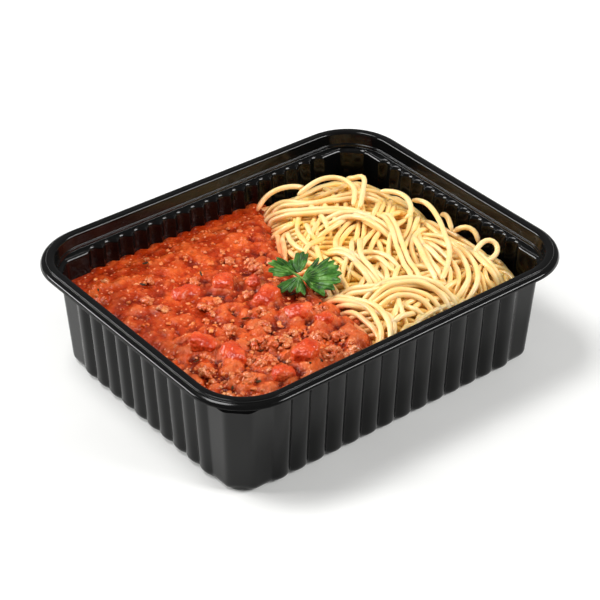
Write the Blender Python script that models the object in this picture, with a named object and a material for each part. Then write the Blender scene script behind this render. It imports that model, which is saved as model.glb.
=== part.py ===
# Ready meal in a ribbed plastic tray: bolognese sauce on one half, spaghetti on the other, parsley on top
import math
import random

import bmesh
import bpy
import numpy as np
from mathutils import Vector
from mathutils.bvhtree import BVHTree

MM = 0.001

# Driving dimensions of the tray, in millimetres. X is the long way, the origin is under its middle.
TRAY_LENGTH = 190.0
TRAY_WIDTH = 153.5
TRAY_HEIGHT = 53.5
SHEET = 0.6
LONGER_BY = (TRAY_LENGTH - TRAY_WIDTH) / 2

# Half lengths along X of the rim's lines; along Y each is smaller by LONGER_BY
BAND_OUTER = TRAY_LENGTH / 2 - 2.65
BAND_INNER = BAND_OUTER - 3.5
LEDGE_OUTER = BAND_INNER - 0.8
GROOVE_OUTER = BAND_OUTER + 0.9
GROOVE_DROP = 0.8
SKIRT_DROP = 3.0
LEDGE_DROP = 5.7
RIM_CORNER_RADIUS = 25.0
RIM_CORNER_STEPS = 8

# The ribbed wall, measured on its inner face at the ledge and where the foot's curve starts
PANEL_TOP = 84.1
PANEL_FOOT = 82.15
RIB_DEPTH_TOP = 2.5
RIB_DEPTH_FOOT = 1.1
FOOT_CURVE = 3.6
CORNER_LEG = 7.6
CORNER_BEND = 2.2
RIB_RUN_LONG = 130.9
RIB_RUN_SHORT = 93.5
RIBS_FRONT = 14
RIBS_RIGHT = 12
RIBS_BACK = 17
RIBS_LEFT = 10
RIB_PROFILE = ((0.0, 0.0), (0.22, 0.8), (0.5, 1.0), (0.78, 0.8))

# The food, in millimetres
WALL_GAP = 0.4
PIECE_GAP = 0.3
SAUCE_LEVEL = 35.5
SAUCE_RISE = 2.6
SAUCE_CELL = 3.9
SAUCE_COLUMNS = 22
HEAP_EDGE = 36.5
HEAP_TOP = 45.2
HEAP_CELL = 9.0
NOODLE_WIDTH = 2.4
NOODLE_SIDES = 5
NOODLE_STEP = 5.4
NOODLE_COUNT = 18
NOODLE_LENGTH = 88.0
NOODLE_TRIES = 24
NOODLE_MARGIN = 0.8
TIGHTEST_BEND = 10.0
LEAF_THICKNESS = 0.7

# Where sauce and spaghetti meet: pairs of Y and X, from the front wall to the back wall
MEETING_LINE = ((-70, -21), (-55, -12), (-38, -5), (-15, -4.5), (5, -2), (20, 1), (38, 8), (55, 18), (70, 28))

# Tomato pieces: X, Y, the three sizes, turn in degrees and how far the middle lies above the sauce
TOMATO_PIECES = (
    (-21.0, -3.5, 14.0, 8.5, 8.0, 20, 2.6),
    (-17.5, -21.0, 11.5, 9.0, 8.0, -30, 1.8),
    (-12.0, -31.5, 7.5, 7.0, 7.0, 10, 1.6),
    (-28.5, 17.5, 11.0, 9.5, 8.0, 50, 1.0),
    (-18.5, 9.0, 6.5, 6.0, 6.0, 0, 1.3),
    (-62.0, -14.0, 11.5, 8.5, 7.5, -55, 1.6),
    (-56.5, -27.0, 13.5, 9.0, 8.0, 75, 1.6),
    (-33.5, -46.5, 12.0, 9.0, 8.0, 15, 1.7),
    (-49.0, -50.5, 9.5, 6.5, 6.0, -20, 1.2),
    (-45.0, 22.0, 13.0, 8.0, 7.0, -10, 0.3),
)


def clear_scene():
    for item in list(bpy.data.objects):
        bpy.data.objects.remove(item, do_unlink=True)


def make_material(name, colour, roughness, metallic=0.0):
    material = bpy.data.materials.new(name)
    material.use_nodes = True
    shader = material.node_tree.nodes["Principled BSDF"]
    shader.inputs["Base Color"].default_value = (*colour, 1.0)
    shader.inputs["Roughness"].default_value = roughness
    shader.inputs["Metallic"].default_value = metallic
    material.diffuse_color = (*colour, 1.0)
    return material


def object_from_bmesh(name, mesh_builder, material=None):
    """Write a bmesh in millimetres to a named object in metres"""
    bmesh.ops.recalc_face_normals(mesh_builder, faces=mesh_builder.faces)
    bmesh.ops.scale(mesh_builder, vec=(MM, MM, MM), verts=mesh_builder.verts)
    mesh = bpy.data.meshes.new(name)
    mesh_builder.to_mesh(mesh)
    mesh_builder.free()
    item = bpy.data.objects.new(name, mesh)
    bpy.context.collection.objects.link(item)
    if material is not None:
        mesh.materials.append(material)
    return item


def smooth_step(value):
    value = min(max(value, 0.0), 1.0)
    return value * value * (3.0 - 2.0 * value)


# Tray rings. A ring is a list of (key, x, y, z): the key grows from 0 to 4 round the four sides.
# Side 0 is the front (-Y), 1 the right (+X), 2 the back (+Y) and 3 the left (-X).

SIDE_TURNS = (0.0, math.pi / 2, math.pi, 3 * math.pi / 2)
RUN_START = 0.1
RUN_SHARE = 0.8


def place_on_side(side, along, outward):
    """Turn a place along a side, and outward from the middle, into X and Y"""
    turn = SIDE_TURNS[side]
    x, y = along, -outward
    return (x * math.cos(turn) - y * math.sin(turn), x * math.sin(turn) + y * math.cos(turn))


def side_distance(side, half_length):
    """How far a side lies from the middle, from the half length along X"""
    return half_length - LONGER_BY if side in (0, 2) else half_length


def rib_run(side):
    return (RIB_RUN_LONG if side in (0, 2) else RIB_RUN_SHORT) / 2


def rib_count(side):
    return (RIBS_FRONT, RIBS_RIGHT, RIBS_BACK, RIBS_LEFT)[side]


def run_key(side, along):
    half_run = rib_run(side)
    return side + RUN_START + RUN_SHARE * (along + half_run) / (2 * half_run)


def rib_marks(side):
    """Places along a side where one rib ends and the next starts"""
    half_run, count = rib_run(side), rib_count(side)
    return [-half_run + 2 * half_run * step / count for step in range(count + 1)]


def sorted_ring(points):
    return sorted(((key % 4.0, x, y, z) for key, x, y, z in points), key=lambda point: point[0])


def ribbed_ring(half_length, rib_depth, z, full=True):
    """The wall's outline with its ribs; full=False keeps one point at each rib's edge"""
    points = []
    for side in range(4):
        away = side_distance(side, half_length)
        marks = rib_marks(side)
        pitch = marks[1] - marks[0]
        for index, mark in enumerate(marks):
            last = index == len(marks) - 1
            for share, height in (RIB_PROFILE if full and not last else RIB_PROFILE[:1]):
                along = mark + share * pitch
                x, y = place_on_side(side, along, away + rib_depth * height)
                points.append((run_key(side, along), x, y, z))
        points += chamfer_points(side, half_length, z)
    return sorted_ring(points)


def chamfer_points(side, half_length, z):
    """The cut corner after a side, with each bend split in two"""
    away = side_distance(side, half_length)
    reach = side_distance((side + 1) % 4, half_length)
    slant = CORNER_BEND / math.sqrt(2)
    spots = (
        (reach - CORNER_LEG - CORNER_BEND, away, 0.93),
        (reach - CORNER_LEG + slant, away - slant, 0.98),
        (reach - slant, away - CORNER_LEG + slant, 1.02),
        (reach, away - CORNER_LEG - CORNER_BEND, 1.07),
    )
    points = []
    for along, outward, share in spots:
        x, y = place_on_side(side, along, outward)
        points.append((side + share, x, y, z))
    return points


def rim_ring(half_length, z, with_marks=False):
    """A rounded rectangle of the rim; with_marks adds a point at each rib's edge"""
    radius = RIM_CORNER_RADIUS + half_length - BAND_OUTER
    points = []
    for side in range(4):
        away = side_distance(side, half_length)
        reach = side_distance((side + 1) % 4, half_length)
        for step in range(RIM_CORNER_STEPS + 1):
            share = step / RIM_CORNER_STEPS
            angle = math.pi / 2 * share
            along = reach - radius + radius * math.sin(angle)
            outward = away - radius + radius * math.cos(angle)
            x, y = place_on_side(side, along, outward)
            points.append((side + 0.95 + 0.1 * share, x, y, z))
        if with_marks:
            for mark in rib_marks(side):
                x, y = place_on_side(side, mark, away)
                points.append((run_key(side, mark), x, y, z))
    return sorted_ring(points)


def bridge_rings(mesh_builder, ring_a, verts_a, ring_b, verts_b):
    """Join two rings with triangles, taking the next point by its key"""
    count_a, count_b = len(ring_a), len(ring_b)
    step_a = step_b = 0
    while step_a < count_a or step_b < count_b:
        next_a = ring_a[(step_a + 1) % count_a][0] + 4.0 * ((step_a + 1) // count_a)
        next_b = ring_b[(step_b + 1) % count_b][0] + 4.0 * ((step_b + 1) // count_b)
        here_a, here_b = verts_a[step_a % count_a], verts_b[step_b % count_b]
        if step_b >= count_b or (step_a < count_a and next_a <= next_b):
            mesh_builder.faces.new((here_a, verts_a[(step_a + 1) % count_a], here_b))
            step_a += 1
        else:
            mesh_builder.faces.new((here_a, verts_b[(step_b + 1) % count_b], here_b))
            step_b += 1


def loft_rings(rings, close_round=False):
    """Skin a stack of rings; the ends are capped, or joined to each other"""
    mesh_builder = bmesh.new()
    rows = [[mesh_builder.verts.new(point[1:]) for point in ring] for ring in rings]
    pairs = list(zip(range(len(rings) - 1), range(1, len(rings))))
    if close_round:
        pairs.append((len(rings) - 1, 0))
    for low, high in pairs:
        bridge_rings(mesh_builder, rings[low], rows[low], rings[high], rows[high])
    if not close_round:
        mesh_builder.faces.new(rows[0])
        mesh_builder.faces.new(rows[-1])
    return mesh_builder


def make_tray(material):
    """One drawn sheet: skirt, flat band, inner step, ledge, ribbed wall and floor, then back underneath"""
    top = TRAY_HEIGHT
    ledge = top - LEDGE_DROP
    floor_half = PANEL_FOOT - 3.2
    rings = [
        ribbed_ring(floor_half, 0.0, SHEET, full=False),
        ribbed_ring(PANEL_FOOT, RIB_DEPTH_FOOT, SHEET + FOOT_CURVE),
        ribbed_ring(PANEL_TOP, RIB_DEPTH_TOP, ledge),
        rim_ring(LEDGE_OUTER, ledge, with_marks=True),
        rim_ring(BAND_INNER, top),
        rim_ring(BAND_OUTER, top),
        rim_ring(BAND_OUTER + 0.1, top - GROOVE_DROP),
        rim_ring(GROOVE_OUTER, top - GROOVE_DROP - 0.1),
        rim_ring(TRAY_LENGTH / 2, top - SKIRT_DROP),
        rim_ring(TRAY_LENGTH / 2 - SHEET, top - SKIRT_DROP),
        rim_ring(GROOVE_OUTER - 0.45, top - GROOVE_DROP - 0.1 - SHEET),
        rim_ring(BAND_OUTER - 0.5, top - GROOVE_DROP - SHEET),
        rim_ring(BAND_OUTER - SHEET, top - SHEET),
        rim_ring(BAND_INNER + SHEET, top - SHEET),
        rim_ring(LEDGE_OUTER + SHEET, ledge - SHEET, with_marks=True),
        ribbed_ring(PANEL_TOP + SHEET, RIB_DEPTH_TOP, ledge - SHEET),
        ribbed_ring(PANEL_FOOT + SHEET, RIB_DEPTH_FOOT, FOOT_CURVE),
        ribbed_ring(floor_half, 0.0, 0.0, full=False),
    ]
    return object_from_bmesh("tray", loft_rings(rings), material)


# Food regions

def meeting_x(y):
    """X of the line where sauce and spaghetti meet, smoothed between its points"""
    ys = [point[0] for point in MEETING_LINE]
    xs = [point[1] for point in MEETING_LINE]
    samples = [float(np.interp(y + shift, ys, xs)) for shift in (-6.0, -3.0, 0.0, 3.0, 6.0)]
    return sum(samples) / len(samples)


def panel_half(z):
    """Half length of the wall's flat inner panel at a height"""
    low = SHEET + FOOT_CURVE
    share = (z - low) / (TRAY_HEIGHT - LEDGE_DROP - low)
    return PANEL_FOOT + (PANEL_TOP - PANEL_FOOT) * share


def wall_distance(x, y, half_length):
    """Distance of a point to the nearest wall or cut corner, and the way inward from it"""
    half_width = half_length - LONGER_BY
    slant = (half_length + half_width - CORNER_LEG - abs(x) - abs(y)) / math.sqrt(2)
    options = (
        (half_length - abs(x), (-math.copysign(1.0, x), 0.0)),
        (half_width - abs(y), (0.0, -math.copysign(1.0, y))),
        (slant, (-math.copysign(0.7071, x), -math.copysign(0.7071, y))),
    )
    return min(options, key=lambda option: option[0])


def spaghetti_distance(x, y):
    """Distance inside the spaghetti's side of the tray, and the way inward"""
    wall = wall_distance(x, y, panel_half(SAUCE_LEVEL))
    tilt = (meeting_x(y + 2.0) - meeting_x(y - 2.0)) / 4.0
    length = math.hypot(1.0, tilt)
    line = ((x - meeting_x(y)) / length, (1.0 / length, -tilt / length))
    return min(wall, line, key=lambda option: option[0])


def heap_height(x, y):
    """Top of the bare spaghetti heap: low by wall and sauce, with soft hills"""
    away, _ = spaghetti_distance(x, y)
    hills = 0.7 * math.sin(x / 9.0 + 1.0) * math.cos(y / 11.0)
    return HEAP_EDGE + (HEAP_TOP - HEAP_EDGE) * smooth_step((away + 3.0) / 24.0) + hills


def make_lumps():
    """Mince clumps in the sauce: x, y, radius and height, larger towards the front and the pasta"""
    rng = random.Random(7)
    lumps = []
    for _ in range(150):
        x = rng.uniform(-80.0, 8.0)
        y = rng.uniform(-62.0, 60.0)
        coarse = smooth_step(0.5 - y / 90.0 + (x + 40.0) / 160.0)
        radius = rng.uniform(3.0, 4.5) + 2.2 * coarse * rng.random()
        height = (0.9 + 2.6 * coarse) * rng.uniform(0.5, 1.0)
        lumps.append((x, y, radius, height))
    return lumps


LUMPS = make_lumps()


def sauce_height(x, y):
    """Top of the sauce: level by the walls, higher and lumpy inside"""
    away, _ = wall_distance(x, y, panel_half(SAUCE_LEVEL))
    inside = smooth_step(away / 20.0)
    height = SAUCE_LEVEL + SAUCE_RISE * inside
    bump = 0.0
    for lump_x, lump_y, radius, rise in LUMPS:
        distance = math.hypot(x - lump_x, y - lump_y) / radius
        if distance < 1.0:
            bump = max(bump, rise * (1.0 - distance * distance))
    return height + bump * (0.35 + 0.65 * smooth_step(away / 9.0))


def height_block(rows, bottom):
    """Solid under a grid of points: flat below, with vertical sides"""
    mesh_builder = bmesh.new()
    top = [[mesh_builder.verts.new(point) for point in row] for row in rows]
    for low, high in zip(top, top[1:]):
        for index in range(len(low) - 1):
            mesh_builder.faces.new((low[index], low[index + 1], high[index + 1], high[index]))
    edge = top[0][:-1] + [row[-1] for row in top[:-1]] + top[-1][:0:-1] + [row[0] for row in top[:0:-1]]
    base = [mesh_builder.verts.new((vert.co.x, vert.co.y, bottom)) for vert in edge]
    for index in range(len(edge)):
        after = (index + 1) % len(edge)
        mesh_builder.faces.new((edge[index], base[index], base[after], edge[after]))
    mesh_builder.faces.new(base)
    bmesh.ops.triangulate(mesh_builder, faces=mesh_builder.faces)
    return mesh_builder


def apply_boolean(target, operation, tool, solver="EXACT"):
    """Cut or join a mesh object with another object or a collection, then remove the tool"""
    modifier = target.modifiers.new("boolean", "BOOLEAN")
    modifier.operation = operation
    modifier.solver = solver
    if isinstance(tool, bpy.types.Collection):
        modifier.operand_type = "COLLECTION"
        modifier.collection = tool
        spent = list(tool.objects)
    else:
        modifier.object = tool
        spent = [tool]
    depsgraph = bpy.context.evaluated_depsgraph_get()
    result = bpy.data.meshes.new_from_object(target.evaluated_get(depsgraph))
    target.modifiers.clear()
    target.data = result
    for item in spent:
        bpy.data.objects.remove(item, do_unlink=True)
    if isinstance(tool, bpy.types.Collection):
        bpy.data.collections.remove(tool)


def keep_largest_shell(item):
    """Drop loose scraps and the skins of sealed hollows"""
    mesh_builder = bmesh.new()
    mesh_builder.from_mesh(item.data)
    unseen = set(mesh_builder.verts)
    shells = []
    while unseen:
        stack = [unseen.pop()]
        shell = set(stack)
        while stack:
            for edge in stack.pop().link_edges:
                for vert in edge.verts:
                    if vert in unseen:
                        unseen.remove(vert)
                        shell.add(vert)
                        stack.append(vert)
        shells.append(shell)
    largest = max(shells, key=len)
    scraps = [vert for vert in mesh_builder.verts if vert not in largest]
    bmesh.ops.delete(mesh_builder, geom=scraps, context="VERTS")
    flat_angle = math.radians(1.0)
    bmesh.ops.dissolve_limit(mesh_builder, angle_limit=flat_angle, verts=mesh_builder.verts, edges=mesh_builder.edges)
    bmesh.ops.triangulate(mesh_builder, faces=mesh_builder.faces)
    mesh_builder.to_mesh(item.data)
    mesh_builder.free()


def make_cavity(name, ribbed):
    """Closed solid of the tray's inside, clear of the walls, to trim the food with"""
    depth_share = 1.0 if ribbed else 0.0
    floor_z = SHEET + PIECE_GAP
    full = ribbed
    rings = [
        ribbed_ring(PANEL_FOOT - 3.2 - WALL_GAP, 0.0, floor_z, full=False),
        ribbed_ring(PANEL_FOOT - WALL_GAP, RIB_DEPTH_FOOT * depth_share, SHEET + FOOT_CURVE, full=full),
        ribbed_ring(PANEL_TOP - WALL_GAP, RIB_DEPTH_TOP * depth_share, TRAY_HEIGHT - LEDGE_DROP, full=full),
        ribbed_ring(PANEL_TOP - WALL_GAP, RIB_DEPTH_TOP * depth_share, TRAY_HEIGHT + 8.0, full=full),
    ]
    return object_from_bmesh(name, loft_rings(rings))


def make_sauce(material):
    """Sauce with its fused mince, trimmed to the ribbed wall and to the meeting line"""
    half_width = PANEL_TOP - LONGER_BY + 6.0
    row_count = round(2 * half_width / SAUCE_CELL)
    rows = []
    for row in range(row_count + 1):
        y = -half_width + 2 * half_width * row / row_count
        right = meeting_x(y) - 0.2
        left = -(PANEL_TOP + 6.0)
        line = []
        for column in range(SAUCE_COLUMNS + 1):
            x = left + (right - left) * column / SAUCE_COLUMNS
            line.append((x, y, sauce_height(x, y)))
        rows.append(line)
    sauce = object_from_bmesh("bolognese_sauce", height_block(rows, -5.0), material)
    apply_boolean(sauce, "INTERSECT", make_cavity("sauce_cavity", ribbed=True))
    return sauce


def rounded_chunk(size_x, size_y, size_z, seed):
    """A soft-cornered dice of tomato, uneven like a cut one"""
    mesh_builder = bmesh.new()
    bmesh.ops.create_icosphere(mesh_builder, subdivisions=2, radius=1.0)
    rng = random.Random(seed)
    skew = [rng.uniform(-0.16, 0.16) for _ in range(6)]
    for vert in mesh_builder.verts:
        direction = vert.co.normalized()
        norm = sum(abs(part) ** 3.4 for part in direction) ** (1 / 3.4)
        x, y, z = direction / norm
        x, y = x * (1.0 + skew[0] * z + skew[1] * y), y * (1.0 + skew[2] * x + skew[3] * z)
        z *= 1.0 + skew[4] * x + skew[5] * y
        vert.co = Vector((x * size_x / 2, y * size_y / 2, z * size_z / 2))
    return mesh_builder


def make_tomato(index, piece, material):
    """One tomato piece, and the slightly larger copy that cuts its seat in the sauce"""
    x, y, size_x, size_y, size_z, turn, lift = piece
    place = Vector((x, y, sauce_height(x, y) + lift)) * MM
    chunk = object_from_bmesh(f"tomato_piece_{index:02d}", rounded_chunk(size_x, size_y, size_z, index), material)
    grow = 2 * PIECE_GAP
    seat = object_from_bmesh(f"seat_{index:02d}", rounded_chunk(size_x + grow, size_y + grow, size_z + grow, index))
    for item in (chunk, seat):
        item.location = place
        item.rotation_euler = (0.15 * math.sin(index), 0.2 * math.cos(2.0 * index), math.radians(turn))
    return chunk, seat


def walk(x, y, heading, bend, wave, steps):
    """A wandering path over the heap that turns back where it nears a wall or the sauce"""
    points = []
    margin = NOODLE_WIDTH / 2 + WALL_GAP + NOODLE_MARGIN
    for step in range(steps + 1):
        for _ in range(3):
            away, inward = spaghetti_distance(x, y)
            if away < margin:
                x += inward[0] * (margin - away)
                y += inward[1] * (margin - away)
        points.append((x, y))
        turn = bend * (1.0 + 0.6 * math.sin(wave + 0.35 * step)) * NOODLE_STEP
        outward_speed = -math.cos(heading) * inward[0] - math.sin(heading) * inward[1]
        if away < margin + 7.0 and outward_speed > -0.2:
            side = math.copysign(1.0, math.cos(heading) * inward[1] - math.sin(heading) * inward[0])
            turn = side * NOODLE_STEP / TIGHTEST_BEND
        heading += turn
        x += NOODLE_STEP * math.cos(heading)
        y += NOODLE_STEP * math.sin(heading)
    return points


def noodle_path(rng, start):
    """A path that runs both ways from its middle"""
    heading = rng.uniform(0.0, 2 * math.pi)
    bend = rng.choice((-1.0, 1.0)) / rng.uniform(20.0, 60.0)
    wave = rng.uniform(0.0, 2 * math.pi)
    steps = round(NOODLE_LENGTH * rng.uniform(0.8, 1.15) / NOODLE_STEP / 2)
    ahead = walk(*start, heading, bend, wave, steps)
    behind = walk(*start, heading + math.pi, -bend, wave, steps)
    return behind[:0:-1] + ahead


def spacing(path, placed):
    """How far a path keeps from the noodles already placed, on average"""
    if not placed:
        return 0.0
    gaps = [min(math.dist(point, other) for other in placed) for point in path]
    return sum(min(gap, 12.0) for gap in gaps) / len(gaps)


def crosses_itself(points, clearance):
    """True where a path comes back to within a clearance of an earlier stretch"""
    skip = 4
    for index, (x, y) in enumerate(points):
        for other_x, other_y in points[index + skip:]:
            if math.hypot(x - other_x, y - other_y) < clearance:
                return True
    return False


def tube_along(points, radius, sides):
    """A closed round bar along a path"""
    mesh_builder = bmesh.new()
    centres = [Vector(point) for point in points]
    rows = []
    for index, centre in enumerate(centres):
        ahead = centres[min(index + 1, len(centres) - 1)] - centres[max(index - 1, 0)]
        ahead.normalize()
        across = ahead.cross(Vector((0, 0, 1))).normalized()
        over = across.cross(ahead)
        row = []
        for side in range(sides):
            angle = 2 * math.pi * (side + 0.5) / sides
            offset = across * math.cos(angle) + over * math.sin(angle)
            row.append(mesh_builder.verts.new(centre + offset * radius))
        rows.append(row)
    for low, high in zip(rows, rows[1:]):
        for side in range(sides):
            after = (side + 1) % sides
            mesh_builder.faces.new((low[side], low[after], high[after], high[side]))
    mesh_builder.faces.new(rows[0])
    mesh_builder.faces.new(rows[-1])
    bmesh.ops.triangulate(mesh_builder, faces=mesh_builder.faces)
    return mesh_builder


def make_noodle(index, rng, start, placed):
    """One noodle laid on the heap with both ends tucked in, where the others leave most room"""
    choices = [noodle_path(rng, start) for _ in range(NOODLE_TRIES)]
    choices = [path for path in choices if not crosses_itself(path, 2 * NOODLE_WIDTH)] or choices
    flat = max(choices, key=lambda path: spacing(path, placed))
    placed += flat
    lift = rng.uniform(0.35, 0.85)
    points = []
    for step, (x, y) in enumerate(flat):
        ends = min(step, len(flat) - 1 - step)
        tuck = 3.6 * (1.0 - smooth_step(ends / 2.5))
        z = heap_height(x, y) + NOODLE_WIDTH * lift - tuck
        points.append((x, y, z))
    return object_from_bmesh(f"noodle_{index:02d}", tube_along(points, NOODLE_WIDTH / 2, NOODLE_SIDES))


def make_spaghetti(material):
    """A core heap with the uppermost noodles fused on"""
    half_width = PANEL_TOP - LONGER_BY + 4.0
    row_count = round(2 * half_width / HEAP_CELL)
    column_count = 11
    rows = []
    for row in range(row_count + 1):
        y = -half_width + 2 * half_width * row / row_count
        left = meeting_x(y) + 0.2
        right = PANEL_TOP + 4.0
        line = []
        for column in range(column_count + 1):
            x = left + (right - left) * column / column_count
            line.append((x, y, heap_height(x, y)))
        rows.append(line)
    heap = object_from_bmesh("spaghetti", height_block(rows, -5.0), material)
    apply_boolean(heap, "INTERSECT", make_cavity("heap_cavity", ribbed=False))
    noodles = bpy.data.collections.new("noodles")
    rng = random.Random(21)
    placed = []
    for index, start in enumerate(spread_starts(NOODLE_COUNT)):
        noodle = make_noodle(index, rng, start, placed)
        bpy.context.collection.objects.unlink(noodle)
        noodles.objects.link(noodle)
    bpy.context.scene.collection.children.link(noodles)
    apply_boolean(heap, "UNION", noodles, solver="MANIFOLD")
    keep_largest_shell(heap)
    return heap


def spread_starts(count):
    """Evenly spread places on the spaghetti's side, by a golden-ratio rule"""
    places = []
    number = 0
    while len(places) < count:
        number += 1
        x = -20.0 + 104.0 * ((number * 0.7548777) % 1.0)
        y = -66.0 + 132.0 * ((number * 0.5698403) % 1.0)
        if spaghetti_distance(x, y)[0] > 3.0:
            places.append((x, y))
    return places


# Parsley: flat leaves in one tilted plane, which leans back from the sauce

SPRIG_PLACE = (-5.5, -6.5)
SPRIG_FACING = math.radians(-38.5)
SPRIG_TILT = math.radians(24.0)
SPRIG_LEAVES = (
    # Direction in the plane in degrees, length, half width and number of lobes
    (-8.0, 16.5, 8.6, 4),
    (68.0, 10.5, 3.6, 2),
    (160.0, 14.0, 4.6, 3),
    (232.0, 10.0, 4.2, 2),
)
LEAF_ROWS = 3
LEAF_SPREAD = (-1.0, -0.4, 0.4, 1.0)
STALK_RADIUS = 0.8


def sprig_point(right, up, over):
    """A place in the sprig's own plane, turned into millimetres in the tray"""
    ahead = Vector((math.cos(SPRIG_FACING), math.sin(SPRIG_FACING), 0.0))
    away = Vector((-ahead.y, ahead.x, 0.0))
    rise = away * math.cos(SPRIG_TILT) + Vector((0, 0, math.sin(SPRIG_TILT)))
    normal = Vector((0, 0, math.cos(SPRIG_TILT))) - away * math.sin(SPRIG_TILT)
    return Vector((*SPRIG_PLACE, 0.0)) + ahead * right + rise * up + normal * over


def leaf_half_width(share, half_width, lobes):
    """Half width of a lobed leaf at a share of its length"""
    body = math.sin(math.pi * (0.04 + 0.92 * share)) ** 0.6
    teeth = 0.7 + 0.3 * abs(math.cos(math.pi * lobes * share))
    return half_width * body * teeth


def make_leaf(name, leaf):
    """A thin wavy leaf, its two faces split alike"""
    direction, length, half_width, lobes = leaf
    turn = math.radians(direction)
    steps = LEAF_ROWS * lobes
    top, low = [], []
    mesh_builder = bmesh.new()
    for step in range(steps + 1):
        share = step / steps
        width = leaf_half_width(share, half_width, lobes)
        for grid, over in ((top, LEAF_THICKNESS), (low, 0.0)):
            row = []
            for reach in LEAF_SPREAD:
                along, across = length * share, width * reach
                right = along * math.cos(turn) - across * math.sin(turn)
                up = along * math.sin(turn) + across * math.cos(turn)
                wave = 0.45 * math.sin(2.5 * lobes * share + reach) + 0.8 * abs(reach) * share
                row.append(mesh_builder.verts.new(sprig_point(right, up, over + wave)))
            grid.append(row)
    last = len(LEAF_SPREAD) - 1
    for step in range(steps):
        for side in range(last):
            for grid in (top, low):
                near, after = grid[step], grid[step + 1]
                mesh_builder.faces.new((near[side], near[side + 1], after[side + 1]))
                mesh_builder.faces.new((near[side], after[side + 1], after[side]))
        for side in (0, last):
            mesh_builder.faces.new((top[step][side], top[step + 1][side], low[step + 1][side], low[step][side]))
    for step in (0, steps):
        for side in range(last):
            mesh_builder.faces.new((top[step][side], top[step][side + 1], low[step][side + 1], low[step][side]))
    return object_from_bmesh(name, mesh_builder)


def food_height(tree, x, y):
    """Highest point of the food below a place in metres"""
    hit = tree.ray_cast(Vector((x, y, 0.1)), Vector((0, 0, -1)))
    return hit[0].z if hit[0] is not None else 0.0


def make_parsley(material, food):
    """Leaves joined by a short stalk, then set down on the food"""
    stalk = [sprig_point(-3.0 + 1.5 * step, -1.2 + 0.5 * step, 0.35) for step in range(4)]
    sprig = object_from_bmesh("parsley_sprig", tube_along(stalk, STALK_RADIUS, 6), material)
    leaves = bpy.data.collections.new("leaves")
    bpy.context.scene.collection.children.link(leaves)
    for index, leaf in enumerate(SPRIG_LEAVES):
        item = make_leaf(f"leaf_{index}", leaf)
        bpy.context.collection.objects.unlink(item)
        leaves.objects.link(item)
    apply_boolean(sprig, "UNION", leaves)
    keep_largest_shell(sprig)
    tree = BVHTree.FromPolygons(*gather_triangles(food))
    around = ((0.0, 0.0), (1.5, 0.0), (-1.5, 0.0), (0.0, 1.5), (0.0, -1.5))
    rise = -1.0
    for vert in sprig.data.vertices:
        for shift_x, shift_y in around:
            below = food_height(tree, vert.co.x + shift_x * MM, vert.co.y + shift_y * MM)
            rise = max(rise, below - vert.co.z)
    sprig.location.z = rise + PIECE_GAP * MM
    return sprig


def gather_triangles(items):
    """Vertices and triangles of several objects, in world space"""
    points, faces = [], []
    depsgraph = bpy.context.evaluated_depsgraph_get()
    for item in items:
        mesh = item.evaluated_get(depsgraph).to_mesh()
        mesh.calc_loop_triangles()
        first = len(points)
        points += [item.matrix_world @ vert.co for vert in mesh.vertices]
        faces += [[first + index for index in triangle.vertices] for triangle in mesh.loop_triangles]
    return points, faces


def main():
    clear_scene()
    plastic = make_material("black_plastic", (0.012, 0.012, 0.013), 0.3)
    sauce_red = make_material("tomato_sauce", (0.42, 0.05, 0.015), 0.3)
    tomato_red = make_material("tomato_flesh", (0.6, 0.05, 0.012), 0.3)
    pasta_cream = make_material("cooked_pasta", (0.8, 0.62, 0.3), 0.45)
    leaf_green = make_material("parsley_leaf", (0.03, 0.16, 0.03), 0.5)
    make_tray(plastic)
    sauce = make_sauce(sauce_red)
    tomatoes = []
    seats = bpy.data.collections.new("seats")
    bpy.context.scene.collection.children.link(seats)
    for index, piece in enumerate(TOMATO_PIECES, start=1):
        chunk, seat = make_tomato(index, piece, tomato_red)
        tomatoes.append(chunk)
        bpy.context.collection.objects.unlink(seat)
        seats.objects.link(seat)
    apply_boolean(sauce, "DIFFERENCE", seats)
    keep_largest_shell(sauce)
    spaghetti = make_spaghetti(pasta_cream)
    bpy.context.view_layer.update()
    make_parsley(leaf_green, [sauce, spaghetti] + tomatoes)


main()
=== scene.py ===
import math
import random

import bmesh
import bpy
import numpy as np
from bpy.props import FloatProperty, FloatVectorProperty, IntProperty, PointerProperty
from mathutils import Matrix, Vector, noise


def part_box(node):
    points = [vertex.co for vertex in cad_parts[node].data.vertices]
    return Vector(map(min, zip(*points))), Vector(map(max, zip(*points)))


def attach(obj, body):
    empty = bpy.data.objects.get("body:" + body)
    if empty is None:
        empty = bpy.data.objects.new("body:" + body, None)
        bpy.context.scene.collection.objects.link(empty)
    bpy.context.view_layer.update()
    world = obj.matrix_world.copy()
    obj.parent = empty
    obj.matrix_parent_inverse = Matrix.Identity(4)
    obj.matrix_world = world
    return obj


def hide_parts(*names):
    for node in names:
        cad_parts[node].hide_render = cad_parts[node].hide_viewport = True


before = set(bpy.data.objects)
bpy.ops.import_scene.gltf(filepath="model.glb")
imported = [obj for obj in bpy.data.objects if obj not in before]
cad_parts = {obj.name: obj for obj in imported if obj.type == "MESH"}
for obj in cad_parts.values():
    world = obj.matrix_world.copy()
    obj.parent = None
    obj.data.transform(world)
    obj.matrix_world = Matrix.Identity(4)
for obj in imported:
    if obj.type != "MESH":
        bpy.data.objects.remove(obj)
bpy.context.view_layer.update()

bl_info = {
    "name": "Spaghetti bolognese tray meal",
    "version": (1, 0, 0),
    "blender": (4, 5, 0),
    "location": "View3D > Sidebar > Tray meal",
    "description": "Builds a ready meal in a ribbed black tray, with its sauce, pasta and garnish",
    "category": "Object",
}

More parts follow.
